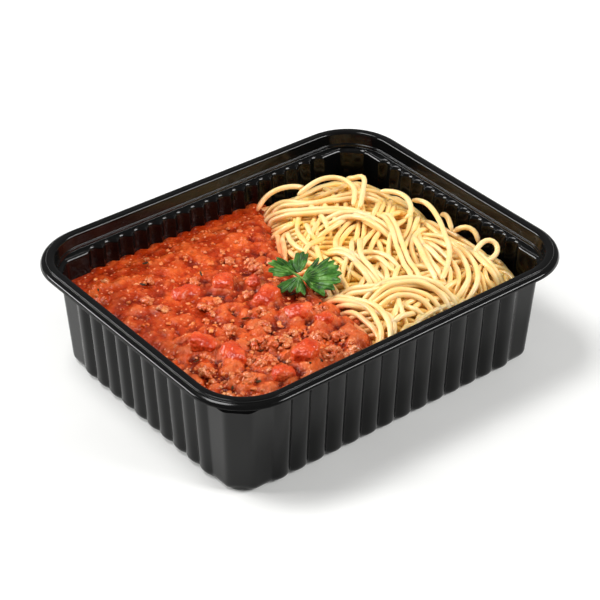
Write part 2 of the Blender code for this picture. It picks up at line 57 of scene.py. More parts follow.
MM = 0.001
BODY = "root"
TRAY_LOW, TRAY_HIGH = (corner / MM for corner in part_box("tray"))
SPRIG_FOOT_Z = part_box("parsley_sprig")[0].z / MM

# The tray, in millimetres. X is the long way, the origin is under its middle.
TRAY_LENGTH = TRAY_HIGH.x - TRAY_LOW.x
TRAY_WIDTH = TRAY_HIGH.y - TRAY_LOW.y
TRAY_HEIGHT = TRAY_HIGH.z
LONGER_BY = (TRAY_LENGTH - TRAY_WIDTH) / 2
SHEET = 0.6
SKIRT_OUT = 2.65
BAND_OUTER = TRAY_LENGTH / 2 - SKIRT_OUT
RIM_CORNER_RADIUS = 25.0
PANEL_TOP = 84.1
PANEL_FOOT = 81.8
PANEL_TOP_Z = TRAY_HEIGHT - 5.7
FOOT_Z = 4.2
FLOOR_HALF = 78.95
RIB_DEPTH_TOP = 2.0
RIB_DEPTH_FOOT = 1.7
CORNER_LEG = 7.6
CORNER_BEND = 3.6
RIB_RUNS = (130.9, 93.5, 130.9, 93.5)
RIB_COUNTS = (14, 12, 17, 10)
LEDGE_Z = TRAY_HEIGHT - 7.0

# The food, in millimetres
SAUCE_LEVEL = 35.5
SAUCE_RISE = 2.6
HEAP_EDGE = 36.5
HEAP_TOP = 45.2
FOOD_FOOT_Z = FOOT_Z + 0.4
FOOD_FLOOR_Z = SHEET + 0.5
NOODLE_WIDTH = 2.4
# Over how much the heap rises from its edge, the height of its hills and its fall toward the back
HEAP_SLOPE = 24.0
HILL_HEIGHT = 0.7
BACK_FALL = 2.6
# Y and X of the line where sauce and pasta meet, and over how much it is smoothed
MEETING_LINE = (
    (-70, -21), (-55, -12), (-38, -5), (-15, -4.5), (5, -2), (20, 1), (38, 8), (55, 18), (70, 28),
)
MEETING_SHIFTS = (-6.0, -3.0, 0.0, 3.0, 6.0)

# Tomato pieces: X, Y, the three sizes, turn in degrees and how far the middle lies above the sauce
TOMATO_PIECES = (
    (-21.0, -3.5, 14.0, 8.5, 8.0, 20, 2.6),
    (-17.5, -21.0, 11.5, 9.0, 8.0, -30, 1.8),
    (-12.0, -31.5, 7.5, 7.0, 7.0, 10, 1.6),
    (-28.5, 17.5, 11.0, 9.5, 8.0, 50, 1.0),
    (-18.5, 9.0, 6.5, 6.0, 6.0, 0, 1.3),
    (-62.0, -14.0, 11.5, 8.5, 7.5, -55, 1.6),
    (-56.5, -27.0, 13.5, 9.0, 8.0, 75, 1.6),
    (-33.5, -46.5, 12.0, 9.0, 8.0, 15, 1.7),
    (-49.0, -50.5, 9.5, 6.5, 6.0, -20, 1.2),
    (-45.0, 22.0, 13.0, 8.0, 7.0, -10, 0.3),
)


# Colour and node helpers

def linear(hex_colour):
    """An sRGB hex colour as a linear RGBA"""
    parts = [int(hex_colour[index:index + 2], 16) / 255 for index in (1, 3, 5)]
    light = [part / 12.92 if part <= 0.04045 else ((part + 0.055) / 1.055) ** 2.4 for part in parts]
    return (*light, 1.0)


def per_mm(size):
    """The texture scale that gives features of a size in millimetres, on coordinates in metres"""
    return 1.0 / (size * MM)


def wire(tree, node, inputs, links):
    """Set a node's constant inputs, and link its other ones"""
    for name, value in inputs.items():
        node.inputs[name].default_value = value
    for name, socket in links.items():
        tree.links.new(socket, node.inputs[name])


def add_node(tree, kind, inputs=None, links=None, **properties):
    """Add a node with its properties, its inputs' values and its links"""
    node = tree.nodes.new(kind)
    for name, value in properties.items():
        setattr(node, name, value)
    wire(tree, node, inputs or {}, links or {})
    return node


def new_material(name):
    """An empty material, its tree, its Principled shader and object coordinates"""
    material = bpy.data.materials.new(name)
    material.use_nodes = True
    tree = material.node_tree
    place = add_node(tree, "ShaderNodeTexCoord").outputs["Object"]
    return material, tree, tree.nodes["Principled BSDF"], place


def cloudy(size, detail=3.0, roughness=0.55):
    """Settings of a noise with features of a size in millimetres"""
    return {"Scale": per_mm(size), "Detail": detail, "Roughness": roughness}


# A noise lies mostly between these two values
NOISE_LOW, NOISE_HIGH = 0.3, 0.7


def patches(tree, place, size, detail, *stops):
    """Soft patches of a size in millimetres, coloured through (position, colour) stops"""
    cloud = add_node(tree, "ShaderNodeTexNoise", cloudy(size, detail), {"Vector": place})
    ramp = add_node(tree, "ShaderNodeValToRGB", links={"Fac": cloud.outputs["Fac"]})
    elements = ramp.color_ramp.elements
    while len(elements) < len(stops):
        elements.new(0.5)
    for element, (position, colour) in zip(elements, stops):
        element.position = position
        element.color = linear(colour) if isinstance(colour, str) else (*colour, 1.0)
    return ramp.outputs["Color"]


def painted(tree, name, under, over):
    """One colour laid over another, as strongly as an attribute of the mesh says"""
    mask = add_node(tree, "ShaderNodeAttribute", attribute_name=name).outputs["Fac"]
    mix = add_node(tree, "ShaderNodeMix", links={0: mask, 6: under, 7: over}, data_type="RGBA")
    return mix.outputs[2]


def flecked(tree, place, under, over, spacing, edge, cover):
    """Round flecks of one colour over another, a spacing in millimetres apart"""
    cells = add_node(tree, "ShaderNodeTexVoronoi", {"Scale": per_mm(spacing)}, {"Vector": place})
    mask = add_node(tree, "ShaderNodeMapRange", {1: 0.1, 2: edge, 3: cover, 4: 0.0},
                    {0: cells.outputs["Distance"]})
    mix = add_node(tree, "ShaderNodeMix", links={0: mask.outputs[0], 6: under, 7: over}, data_type="RGBA")
    return mix.outputs[2]


def sheen(tree, place, clouds, low, high):
    """A roughness that drifts between two limits"""
    cloud = add_node(tree, "ShaderNodeTexNoise", clouds, {"Vector": place})
    spread = add_node(tree, "ShaderNodeMapRange", {1: NOISE_LOW, 2: NOISE_HIGH, 3: low, 4: high},
                      {0: cloud.outputs["Fac"]})
    return spread.outputs[0]


def relief(tree, place, clouds, depth, grain=None):
    """A bump of a depth in millimetres: a noise, and packed round grains of a size under it if given"""
    height = add_node(tree, "ShaderNodeTexNoise", clouds, {"Vector": place}).outputs["Fac"]
    if grain:
        cells = add_node(tree, "ShaderNodeTexVoronoi", {"Scale": per_mm(grain)}, {"Vector": place})
        tops = add_node(tree, "ShaderNodeMapRange", {1: 0.0, 2: 0.8, 3: 1.0, 4: 0.0},
                        {0: cells.outputs["Distance"]})
        both = add_node(tree, "ShaderNodeMath", links={0: tops.outputs[0], 1: height}, operation="ADD")
        height = both.outputs[0]
    bump = add_node(tree, "ShaderNodeBump", {"Strength": 1.0, "Distance": depth * MM}, {"Height": height})
    return bump.outputs["Normal"]


# Materials, each named for what the real one is and how its surface was made

def polypropylene_material(dark, light):
    """Black polypropylene, thermoformed from sheet"""
    # Deep black with clear reflections, a little uneven from the forming
    material, tree, shader, place = new_material("thermoformed_black_polypropylene")
    wire(tree, shader, {"IOR": 1.49, "Specular IOR Level": 0.26}, {
        "Base Color": patches(tree, place, 14.0, 2.0, (0.3, dark), (0.7, light)),
        "Roughness": sheen(tree, place, cloudy(1.6), 0.11, 0.18),
        "Normal": relief(tree, place, cloudy(9.0, 1.0), 0.012),
    })
    return material


def sauce_material(dark, mid, light):
    """Tomato sauce, simmered down with mince"""
    # Opaque, wet orange-red with specks of fat, painted shade that darkens its hollows and painted light that
    # makes the tops of its lumps paler
    material, tree, shader, place = new_material("simmered_tomato_sauce")
    colour = patches(tree, place, 9.0, 5.0, (0.28, dark), (0.5, mid), (0.72, light))
    meat = patches(tree, place, 1.8, 4.0, (0.3, "#8f3413"), (0.6, "#b65a33"), (0.8, "#d9895a"))
    colour = painted(tree, "mince", colour, meat)
    # Painted shade in the hollows between lumps and painted light on their crests, laid over the sauce's own
    # colour by two attributes
    hollow_shade = patches(tree, place, 5.0, 3.0, (0.3, "#4a0900"), (0.7, "#741404"))
    crest = patches(tree, place, 4.0, 3.0, (0.3, "#d4541c"), (0.7, "#ec8046"))
    colour = painted(tree, "crest", painted(tree, "hollow_shade", colour, hollow_shade), crest)
    fat = patches(tree, place, 4.0, 3.0, (0.4, "#cc4e20"), (0.6, "#f4a878"))
    fine = cloudy(1.5, 5.0, 0.6)
    wire(tree, shader, {
        "Specular Tint": linear("#ffc8a4"), "IOR": 1.38, "Specular IOR Level": 0.25,
        "Subsurface Weight": 0.07, "Subsurface Radius": (0.0025, 0.0007, 0.0003), "Subsurface Scale": 1.0,
        "Coat Weight": 0.3, "Coat Roughness": 0.05,
    }, {
        "Base Color": flecked(tree, place, colour, fat, 2.6, 0.24, 0.85),
        "Roughness": sheen(tree, place, fine, 0.1, 0.3),
        "Normal": relief(tree, place, fine, 0.3, 1.5),
        "Coat Normal": relief(tree, place, cloudy(1.8), 0.8),
    })
    return material


def mince_material():
    """Minced beef, browned and then stewed"""
    # Pinkish brown crumbly grains with paler fat, redder where sauce clings to them
    material, tree, shader, place = new_material("browned_minced_beef")
    meat = patches(tree, place, 2.0, 5.0, (0.25, "#b04e1e"), (0.5, "#dc8246"), (0.75, "#f6c490"))
    sauce = patches(tree, place, 3.0, 3.0, (0.3, "#b4360a"), (0.7, "#e0621f"))
    fat = patches(tree, place, 3.0, 3.0, (0.4, "#d88a50"), (0.65, "#f2bc86"))
    fine = cloudy(0.9, 4.0)
    wire(tree, shader, {"IOR": 1.4, "Coat Weight": 0.6, "Coat Roughness": 0.08}, {
        "Base Color": flecked(tree, place, painted(tree, "sauced", meat, sauce), fat, 2.0, 0.25, 0.7),
        "Roughness": sheen(tree, place, fine, 0.15, 0.4),
        "Normal": relief(tree, place, fine, 0.25, 1.0),
        "Coat Normal": relief(tree, place, cloudy(1.6, 2.0), 0.6),
    })
    return material


def tomato_material():
    """Tomato flesh, stewed"""
    # Clear orange-red, soft inside, with a wet skin
    material, tree, shader, place = new_material("stewed_tomato_flesh")
    fine = cloudy(1.6)
    wire(tree, shader, {
        "IOR": 1.36, "Subsurface Weight": 0.15, "Subsurface Radius": (0.003, 0.0008, 0.0004),
        "Coat Weight": 0.5, "Coat Roughness": 0.07,
    }, {
        "Base Color": patches(tree, place, 5.0, 4.0, (0.25, "#ac2808"), (0.5, "#cc4216"), (0.75, "#e26c38")),
        "Roughness": sheen(tree, place, fine, 0.15, 0.4),
        "Normal": relief(tree, place, fine, 0.2, 1.7),
        "Coat Normal": relief(tree, place, cloudy(2.2, 2.0), 0.6),
    })
    return material


def onion_material():
    """Onion and fat, softened in the sauce"""
    # Pale orange and half clear, stained by the sauce
    material, tree, shader, place = new_material("softened_onion_bits")
    wire(tree, shader, {
        "Roughness": 0.25, "Subsurface Weight": 0.2, "Subsurface Radius": (0.0015, 0.0008, 0.0004),
    }, {
        "Base Color": patches(tree, place, 3.5, 3.0, (0.35, "#cc5018"), (0.55, "#dc7434"), (0.75, "#f2ac70")),
        "Normal": relief(tree, place, cloudy(0.8), 0.15),
    })
    return material


def herb_material():
    """Herb flakes, dried and then soaked with sauce"""
    # Dark olive to nearly black, hardly shiny
    material, tree, shader, place = new_material("dried_herb_flakes")
    wire(tree, shader, {"Roughness": 0.5, "Specular IOR Level": 0.2}, {
        "Base Color": patches(tree, place, 2.0, 3.0, (0.3, "#2a1806"), (0.7, "#463410")),
        "Normal": relief(tree, place, cloudy(0.6), 0.1),
    })
    return material


def pasta_material(dark, mid, light):
    """Durum wheat spaghetti, boiled"""
    # Warm cream, waxy and half clear, with a moist gloss and stains of sauce; strands deep in the heap get a
    # painted shade of darker golden
    material, tree, shader, place = new_material("boiled_durum_spaghetti")
    clean = patches(tree, place, 11.0, 3.0, (0.3, mid), (0.7, light))
    # Painted shade: the darker golden colour of strands deep in the heap, between the other strands
    deep = patches(tree, place, 7.0, 3.0, (0.3, dark), (0.7, mid))
    stained = patches(tree, place, 5.0, 3.0, (0.3, "#d9622c"), (0.7, "#ee9a62"))
    fine = cloudy(1.4)
    wire(tree, shader, {
        "IOR": 1.42, "Subsurface Weight": 0.35, "Subsurface Radius": (0.0026, 0.0015, 0.0007),
        "Subsurface Scale": 1.0, "Coat Weight": 0.25, "Coat Roughness": 0.12,
    }, {
        "Base Color": painted(tree, "stain", painted(tree, "depth", clean, deep), stained),
        "Roughness": sheen(tree, place, fine, 0.26, 0.42),
        "Normal": relief(tree, place, fine, 0.1),
    })
    return material


def parsley_material(dark, mid, light):
    """Flat parsley, fresh"""
    # Mid green with paler veins, a waxy sheen, and thin enough to glow a little
    material, tree, shader, place = new_material("fresh_flat_parsley")
    blade = patches(tree, place, 4.5, 4.0, (0.36, dark), (0.5, mid), (0.66, light))
    vein = patches(tree, place, 3.0, 3.0, (0.3, "#4c7a2a"), (0.7, "#86aa58"))
    fine = cloudy(0.9, 4.0)
    wire(tree, shader, {
        "Specular IOR Level": 0.3, "Subsurface Weight": 0.2, "Subsurface Radius": (0.0006, 0.0012, 0.0003),
    }, {
        "Base Color": painted(tree, "vein", blade, vein),
        "Roughness": sheen(tree, place, fine, 0.24, 0.5),
        "Normal": relief(tree, place, fine, 0.15),
    })
    return material


def floor_material():
    """Studio board, painted matt white"""
    # Even and nearly white, without a gloss
    material, tree, shader, place = new_material("matt_white_board")
    wire(tree, shader, {"Roughness": 0.9, "Specular IOR Level": 0.1}, {
        "Base Color": patches(tree, place, 60.0, 2.0, (0.3, "#ececea"), (0.7, "#f2f2f0")),
    })
    return material


# Mesh helpers

def make_piece(name, points, faces, material, attributes=None, smooth=True):
    """A mesh object from points in millimetres, riding on the tray's body"""
    mesh = bpy.data.meshes.new(name)
    mesh.from_pydata((np.asarray(points) * MM).tolist(), [], [list(map(int, face)) for face in faces])
    for key, values in (attributes or {}).items():
        layer = mesh.attributes.new(key, "FLOAT", "POINT")
        layer.data.foreach_set("value", np.asarray(values, dtype=np.float32))
    mesh.materials.append(material)
    if smooth:
        mesh.shade_smooth()
    mesh.validate()
    piece = bpy.data.objects.new(name, mesh)
    bpy.context.collection.objects.link(piece)
    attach(piece, BODY)
    return piece


def face_outward(piece):
    """Turn the faces of a closed piece outward"""
    builder = bmesh.new()
    builder.from_mesh(piece.data)
    bmesh.ops.recalc_face_normals(builder, faces=builder.faces)
    builder.to_mesh(piece.data)
    builder.free()


def join_parts(parts):
    """Several (points, faces, values) parts as one, where values holds one number a point"""
    points, faces, values, first = [], [], [], 0
    for part_points, part_faces, part_values in parts:
        points.append(np.asarray(part_points))
        faces.append(np.asarray(part_faces) + first)
        values.append(np.asarray(part_values))
        first += len(part_points)
    return np.concatenate(points), np.concatenate(faces), np.concatenate(values)


def ball(level):
    """Points and triangles of a unit ball made by splitting an icosahedron"""
    builder = bmesh.new()
    bmesh.ops.create_icosphere(builder, subdivisions=level, radius=1.0)
    points = np.array([tuple(vert.co) for vert in builder.verts])
    faces = np.array([[vert.index for vert in face.verts] for face in builder.faces])
    builder.free()
    return points, faces


def smooth_step(value):
    """A value held between 0 and 1, with a gentle start and end"""
    value = np.clip(value, 0.0, 1.0)
    return value * value * (3.0 - 2.0 * value)


# The tray's outline

SIDE_TURNS = (0.0, math.pi / 2, math.pi, 3 * math.pi / 2)
POINTS_PER_RIB = 12
GROOVE_SHARE = 0.2
POINTS_PER_CORNER = 30
ROUND_LEVELS = 8
WALL_LEVELS = 12
CLOSER_ABOVE = 1.6
# Below the ledge the ridges between the ribs come up over this height, from this share of a rib's depth
RIDGE_RISE = 2.4
RIDGE_DRAWN_BACK = 0.8


def half_of_side(side, half_length):
    """Distance of a side from the middle, less for the two long sides"""
    return half_length - LONGER_BY if side in (0, 2) else half_length


def rib_swell(share):
    """Height of a rib across its width: a broad round crest between grooves with round bottoms"""
    from_groove = np.minimum(share, 1.0 - share)
    groove = 1.0 - np.exp(-(from_groove / GROOVE_SHARE) ** 2)
    crest = 1.0 - (1.0 - 2.0 * from_groove) ** 2
    return 0.6 * groove + 0.4 * crest


def fillet(corners, radii, steps):
    """A polyline whose inner corners are rounded; corners is a list of 2D points"""
    points = [np.array(corners[0], float)]
    for index in range(1, len(corners) - 1):
        corner = np.array(corners[index], float)
        back = np.array(corners[index - 1], float) - corner
        on = np.array(corners[index + 1], float) - corner
        back /= np.linalg.norm(back)
        on /= np.linalg.norm(on)
        half = math.acos(max(-1.0, min(1.0, float(back @ on)))) / 2
        radius = radii[index - 1]
        reach = radius / math.tan(half)
        centre = corner + (back + on) / np.linalg.norm(back + on) * radius / math.sin(half)
        first, last = corner + back * reach - centre, corner + on * reach - centre
        sweep = math.atan2(first[0] * last[1] - first[1] * last[0], float(first @ last))
        for step in range(steps + 1):
            angle = sweep * step / steps
            turn = np.array([[math.cos(angle), -math.sin(angle)], [math.sin(angle), math.cos(angle)]])
            points.append(centre + turn @ first)
    points.append(np.array(corners[-1], float))
    return np.array(points)


def even_points(path, count):
    """A polyline split into equal steps along its length"""
    lengths = np.concatenate([[0.0], np.cumsum(np.linalg.norm(np.diff(path, axis=0), axis=1))])
    spots = np.linspace(0.0, lengths[-1], count)
    return np.stack([np.interp(spots, lengths, axis) for axis in path.T], axis=1)


def outline(half_length, depth, softness):
    """The tray's outline at one level: softness is 0 at the rim's round corners, 1 at the ribbed wall"""
    rows = []
    radius = RIM_CORNER_RADIUS + half_length - BAND_OUTER
    for side in range(4):
        away = half_of_side(side, half_length)
        reach = half_of_side((side + 1) % 4, half_length)
        half_run, after_run = RIB_RUNS[side] / 2, RIB_RUNS[(side + 1) % 4] / 2
        in_rib = 0.5 - 0.5 * np.cos(math.pi * np.arange(POINTS_PER_RIB) / POINTS_PER_RIB)
        pitch = 2 * half_run / RIB_COUNTS[side]
        along = (-half_run + pitch * (np.arange(RIB_COUNTS[side])[:, None] + in_rib[None, :])).ravel()
        outward = away + softness * depth * np.tile(rib_swell(in_rib), RIB_COUNTS[side])
        run = np.stack([along, outward], axis=1)
        ends = ((half_run, away), (reach, after_run))
        rim = fillet((ends[0], (reach, away), ends[1]), (radius,), 16)
        bends = ((reach - CORNER_LEG, away), (reach, away - CORNER_LEG))
        wall = fillet((ends[0], *bends, ends[1]), (CORNER_BEND, CORNER_BEND), 8)
        rim, wall = even_points(rim, POINTS_PER_CORNER), even_points(wall, POINTS_PER_CORNER)
        flat = np.concatenate([run, (rim * (1 - softness) + wall * softness)[:-1]])
        turn = SIDE_TURNS[side]
        x = flat[:, 0] * math.cos(turn) + flat[:, 1] * math.sin(turn)
        y = flat[:, 0] * math.sin(turn) - flat[:, 1] * math.cos(turn)
        rows.append(np.stack([x, y], axis=1))
    return np.concatenate(rows)


def panel_half(z):
    """Half length of the wall's flat inner panel at a height"""
    return PANEL_FOOT + (PANEL_TOP - PANEL_FOOT) * (z - FOOT_Z) / (PANEL_TOP_Z - FOOT_Z)


def rib_depth(z):
    """Depth of the ribs at a height"""
    return RIB_DEPTH_FOOT + (RIB_DEPTH_TOP - RIB_DEPTH_FOOT) * (z - FOOT_Z) / (PANEL_TOP_Z - FOOT_Z)


def ridge_fade(z):
    """How far the ridges between the ribs draw back near the ledge, where they start"""
    down = min(1.0, max(0.0, (LEDGE_Z - z) / RIDGE_RISE))
    return RIDGE_DRAWN_BACK * RIB_DEPTH_TOP * (1.0 - math.sqrt(1.0 - (1.0 - down) ** 2))


def wall_rings(offset, ledge_round, ledge_z, floor_z):
    """Levels of the wall from the ledge's edge to the floor: half length, z, rib depth and softness"""
    rings = []
    for angle in np.linspace(0.0, math.pi / 2, ROUND_LEVELS):
        z = ledge_z - ledge_round * (1.0 - math.cos(angle))
        out = ledge_round * (1.0 - math.sin(angle)) + ridge_fade(z)
        rings.append((panel_half(z) + offset + out, z, rib_depth(z) - ridge_fade(z), 1.0))
    top = ledge_z - ledge_round
    for share in np.linspace(0.0, 1.0, WALL_LEVELS)[1:] ** CLOSER_ABOVE:
        z = top + (FOOT_Z - top) * share
        rings.append((panel_half(z) + offset + ridge_fade(z), z, rib_depth(z) - ridge_fade(z), 1.0))
    for angle in np.linspace(0.0, math.pi / 2, ROUND_LEVELS)[1:]:
        half = FLOOR_HALF + (PANEL_FOOT + offset - FLOOR_HALF) * math.cos(angle)
        z = FOOT_Z + (floor_z - FOOT_Z) * math.sin(angle)
        rings.append((half, z, RIB_DEPTH_FOOT * math.cos(angle) ** 0.5, 1.0))
    rings.append((FLOOR_HALF - FLOOR_RING_INSET, floor_z, 0.0, 1.0))
    return rings


# The rim's section above and below, from the skirt inward: how far out of the band's edge, and how far down
RIM_ABOVE = (
    (SKIRT_OUT - 0.3, 3.0), (SKIRT_OUT, 2.85), (SKIRT_OUT - 0.55, 1.5), (1.0, 0.9), (0.15, 0.85), (0.0, 0.0),
    (-3.5, 0.0), (-4.3, 5.75), (-4.85, 5.85), (-5.0, 6.95), (-5.25, 7.0),
)
RIM_ABOVE_ROUNDS = (0.12, 1.5, 0.5, 0.3, 0.45, 1.3, 0.5, 0.3, 0.3)
RIM_BELOW = (
    (SKIRT_OUT - 0.35, 3.0), (0.65, 1.6), (-0.4, 1.45), (-0.55, 0.6), (-2.9, 0.6), (-3.7, 6.35),
    (-4.25, 6.45), (-4.4, 7.55), (-4.6, 7.6),
)
RIM_BELOW_ROUNDS = (0.4, 0.3, 0.3, 0.4, 0.5, 0.2, 0.3)
LEDGE_ROUND = 2.5
LEDGE_ROUND_BELOW = 0.2
FLOOR_RING_INSET = 12.0


def rim_rings(corners, radii, steps):
    """Levels of the rim from its section's corners, given as half length and drop below the top"""
    return [(half, TRAY_HEIGHT - drop, 0.0, 0.0) for half, drop in fillet(corners, radii, steps)]


def tray_mesh(sheet):
    """The drawn sheet: skirt, groove, band, inner step, double ledge, ribbed wall, floor and underside"""
    upper = [(BAND_OUTER + out, drop) for out, drop in RIM_ABOVE]
    lower = [(BAND_OUTER + out, drop) for out, drop in RIM_BELOW]
    top = rim_rings(upper, RIM_ABOVE_ROUNDS, 4) + wall_rings(0.0, LEDGE_ROUND, LEDGE_Z, sheet)
    bottom = rim_rings(lower, RIM_BELOW_ROUNDS, 2)
    bottom += wall_rings(sheet, LEDGE_ROUND_BELOW, LEDGE_Z - sheet, 0.0)
    rings = top[::-1] + bottom
    rows = []
    for half, z, depth, softness in rings:
        flat = outline(half, depth, softness)
        rows.append(np.column_stack([flat, np.full(len(flat), z)]))
    count = len(rows[0])
    points = np.concatenate(rows + [np.array([[0.0, 0.0, sheet], [0.0, 0.0, 0.0]])])
    faces = []
    for level in range(len(rings) - 1):
        low, high = level * count, (level + 1) * count
        for index in range(count):
            after = (index + 1) % count
            faces.append((low + index, low + after, high + after, high + index))
    inside, outside = len(points) - 2, len(points) - 1
    last = (len(rings) - 1) * count
    for index in range(count):
        after = (index + 1) % count
        faces.append((inside, after, index))
        faces.append((outside, last + index, last + after))
    return points, faces


# Where the food lies

def meeting_x(y):
    """X of the line where sauce and spaghetti meet"""
    ys = [point[0] for point in MEETING_LINE]
    xs = [point[1] for point in MEETING_LINE]
    total = sum(np.interp(np.asarray(y) + shift, ys, xs) for shift in MEETING_SHIFTS)
    return total / len(MEETING_SHIFTS)


def wall_distance(x, y, half_length):
    """Distance to the nearest wall or cut corner"""
    half_width = half_length - LONGER_BY
    slant = (half_length + half_width - CORNER_LEG - np.abs(x) - np.abs(y)) / math.sqrt(2)
    return np.minimum(np.minimum(half_length - np.abs(x), half_width - np.abs(y)), slant)


def pasta_distance(x, y):
    """Distance inside the spaghetti's side of the tray"""
    tilt = (meeting_x(np.asarray(y) + 2.0) - meeting_x(np.asarray(y) - 2.0)) / 4.0
    from_sauce = (x - meeting_x(y)) / np.hypot(1.0, tilt)
    return np.minimum(wall_distance(x, y, panel_half(SAUCE_LEVEL)), from_sauce)


def heap_height(x, y):
    """Top of the bare spaghetti heap"""
    hills = HILL_HEIGHT * np.sin(x / 9.0 + 1.0) * np.cos(y / 11.0)
    back = BACK_FALL * smooth_step((y - 20.0) / 30.0)
    rise = smooth_step((pasta_distance(x, y) + 3.0) / HEAP_SLOPE)
    return HEAP_EDGE + (HEAP_TOP - HEAP_EDGE) * rise + hills - back


def rib_limit(side, along, z):
    """How far the ribbed inner wall lies from the middle, on a side"""
    half_run = RIB_RUNS[side] / 2
    pitch = 2 * half_run / RIB_COUNTS[side]
    swell = np.where(np.abs(along) < half_run, rib_swell((along + half_run) / pitch % 1.0), 0.0)
    return half_of_side(side, panel_half(z)) + rib_depth(z) * swell


def inside_wall(x, y, z, clearance):
    """Points moved in, where needed, to lie inside the ribbed wall"""
    x_limit = np.where(x > 0, rib_limit(1, y, z), rib_limit(3, y, z)) - clearance
    y_limit = np.where(y > 0, rib_limit(2, x, z), rib_limit(0, x, z)) - clearance
    x_new, y_new = np.clip(x, -x_limit, x_limit), np.clip(y, -y_limit, y_limit)
    half = panel_half(z)
    over = np.abs(x_new) + np.abs(y_new) - (2 * half - LONGER_BY - CORNER_LEG - clearance * 1.4)
    over = np.maximum(over, 0.0) / 2
    return x_new - np.sign(x_new) * over, y_new - np.sign(y_new) * over


def coarseness(x, y):
    """Where the sauce is chunky: from 0 by the back-left wall to 1 at the front and the pasta"""
    return smooth_step(0.5 - y / 90.0 + (x + 40.0) / 160.0)


LUMP_COUNT = 150


def make_lumps():
    """Mince clumps under the sauce: x, y, radius and height, as in the solid"""
    rng = random.Random(7)
    lumps = []
    for _ in range(LUMP_COUNT):
        x = rng.uniform(-80.0, 8.0)
        y = rng.uniform(-62.0, 60.0)
        coarse = float(coarseness(x, y))
        radius = rng.uniform(3.0, 4.5) + 2.2 * coarse * rng.random()
        height = (0.9 + 2.6 * coarse) * rng.uniform(0.5, 1.0)
        lumps.append((x, y, radius, height))
    return lumps


LUMPS = make_lumps()


def highest_cap(x, y, caps):
    """The highest of many round caps over each point"""
    best = np.zeros_like(x)
    for cap_x, cap_y, radius, rise in caps:
        near = (np.abs(x - cap_x) < radius) & (np.abs(y - cap_y) < radius)
        if near.any():
            away = ((x[near] - cap_x) ** 2 + (y[near] - cap_y) ** 2) / radius ** 2
            best[near] = np.maximum(best[near], rise * (1.0 - away))
    return best


def sauce_height(x, y):
    """Top of the sauce: level by the walls, higher and lumpy inside"""
    x, y = np.atleast_1d(np.asarray(x, float)), np.atleast_1d(np.asarray(y, float))
    away = wall_distance(x, y, panel_half(SAUCE_LEVEL))
    bump = highest_cap(x, y, LUMPS) * (0.35 + 0.65 * smooth_step(away / 9.0))
    return SAUCE_LEVEL + SAUCE_RISE * smooth_step(away / 20.0) + bump


# Sauce

GRAIN_COUNT = 2600
SAUCE_CELL = 0.6
SAUCE_UNDER_PASTA = 7.0
SAUCE_BEND_Z = 20.0
# The sauce's edge reaches this far into the wall at its top and stays this far off it below
SAUCE_WALL_GAP = 0.15
SAUCE_FLOOR_INSET = 3.6


def make_grains():
    """Small round swellings of the sauce: meat grains and bits of vegetable just below its skin"""
    rng = random.Random(11)
    grains = []
    while len(grains) < GRAIN_COUNT:
        x, y = rng.uniform(-86.0, 30.0), rng.uniform(-68.0, 68.0)
        coarse = float(coarseness(x, y))
        if rng.random() > 0.25 + 0.75 * coarse:
            continue
        radius = rng.uniform(0.8, 1.5) + 2.2 * coarse * rng.random() ** 3
        grains.append((x, y, radius, radius * rng.uniform(0.35, 0.7)))
    return grains


def blurred(field, reach, times):
    """A field averaged over its neighbours, several times"""
    for _ in range(times):
        for axis in (0, 1):
            field = (np.roll(field, reach, axis) + field + np.roll(field, -reach, axis)) / 3.0
    return field


def tomato_fillet(x, y):
    """How the sauce climbs round the tomato pieces"""
    rise = np.zeros_like(x)
    for piece_x, piece_y, size_x, size_y, _, turn, lift in TOMATO_PIECES:
        cos, sin = math.cos(math.radians(turn)), math.sin(math.radians(turn))
        along = (x - piece_x) * cos + (y - piece_y) * sin
        across = (y - piece_y) * cos - (x - piece_x) * sin
        away = np.hypot(along / (size_x / 2), across / (size_y / 2)) - 1.0
        rise = np.maximum(rise, (0.8 + 0.5 * lift) * np.exp(-(np.maximum(away, 0.0) / 0.35) ** 1.5))
    return rise


def sauce_points():
    """Grid of the sauce's top, how much mince each point has, and how much painted shade its hollows and
    painted light its crests get
    """
    xs = np.arange(-88.0, 36.0, SAUCE_CELL)
    ys = np.arange(-70.5, 70.6, SAUCE_CELL)
    x, y = np.meshgrid(xs, ys)
    shape = x.shape
    x, y = x.ravel(), y.ravel()
    skin = np.array([noise.noise(Vector((px, py, 0.0)) * 0.16) for px, py in zip(x, y)])
    fine = np.array([noise.noise(Vector((px, py, 5.0)) * 0.6) for px, py in zip(x, y)])
    grains = np.sqrt(highest_cap(x, y, make_grains())) * 0.72
    away = wall_distance(x, y, panel_half(SAUCE_LEVEL))
    calm = smooth_step((away + 1.0) / 8.0)
    coarse = coarseness(x, y)
    rise = grains * (0.3 + 0.7 * calm) + 1.0 * skin * calm + 0.45 * fine * (0.4 + coarse)
    z = sauce_height(x, y) + rise + tomato_fillet(x, y) - 0.4
    field = z.reshape(shape)
    # How far each point lies below its blurred surroundings: it sets the painted shade in the hollows and the
    # painted light on the crests
    hollow_shade = (blurred(field, 3, 3) - field).ravel() + 0.5 * (blurred(field, 8, 3) - field).ravel()
    under = smooth_step((x - meeting_x(y)) / SAUCE_UNDER_PASTA)
    z = z - 3.5 * under
    marks = {
        "mince": np.clip(grains * 0.7 * coarse + 0.3 * skin - 0.1, 0.0, 0.7),
        # Painted shade for the hollows and painted light for the crests
        "hollow_shade": np.clip(hollow_shade / 1.1 - 0.26, 0.0, 1.0),
        "crest": np.clip(-hollow_shade / 1.8 - 0.1, 0.0, 0.5),
    }
    return xs, ys, x, y, z, marks


def boundary_loop(faces):
    """The points round the edge of a sheet of faces, in order"""
    edges = {}
    for face in faces:
        for start, end in zip(face, np.roll(face, -1)):
            edges[(int(start), int(end))] = True
    after = {start: end for start, end in edges if (end, start) not in edges}
    first = next(iter(after))
    loop = [first]
    while after[loop[-1]] != first:
        loop.append(after[loop[-1]])
    return loop


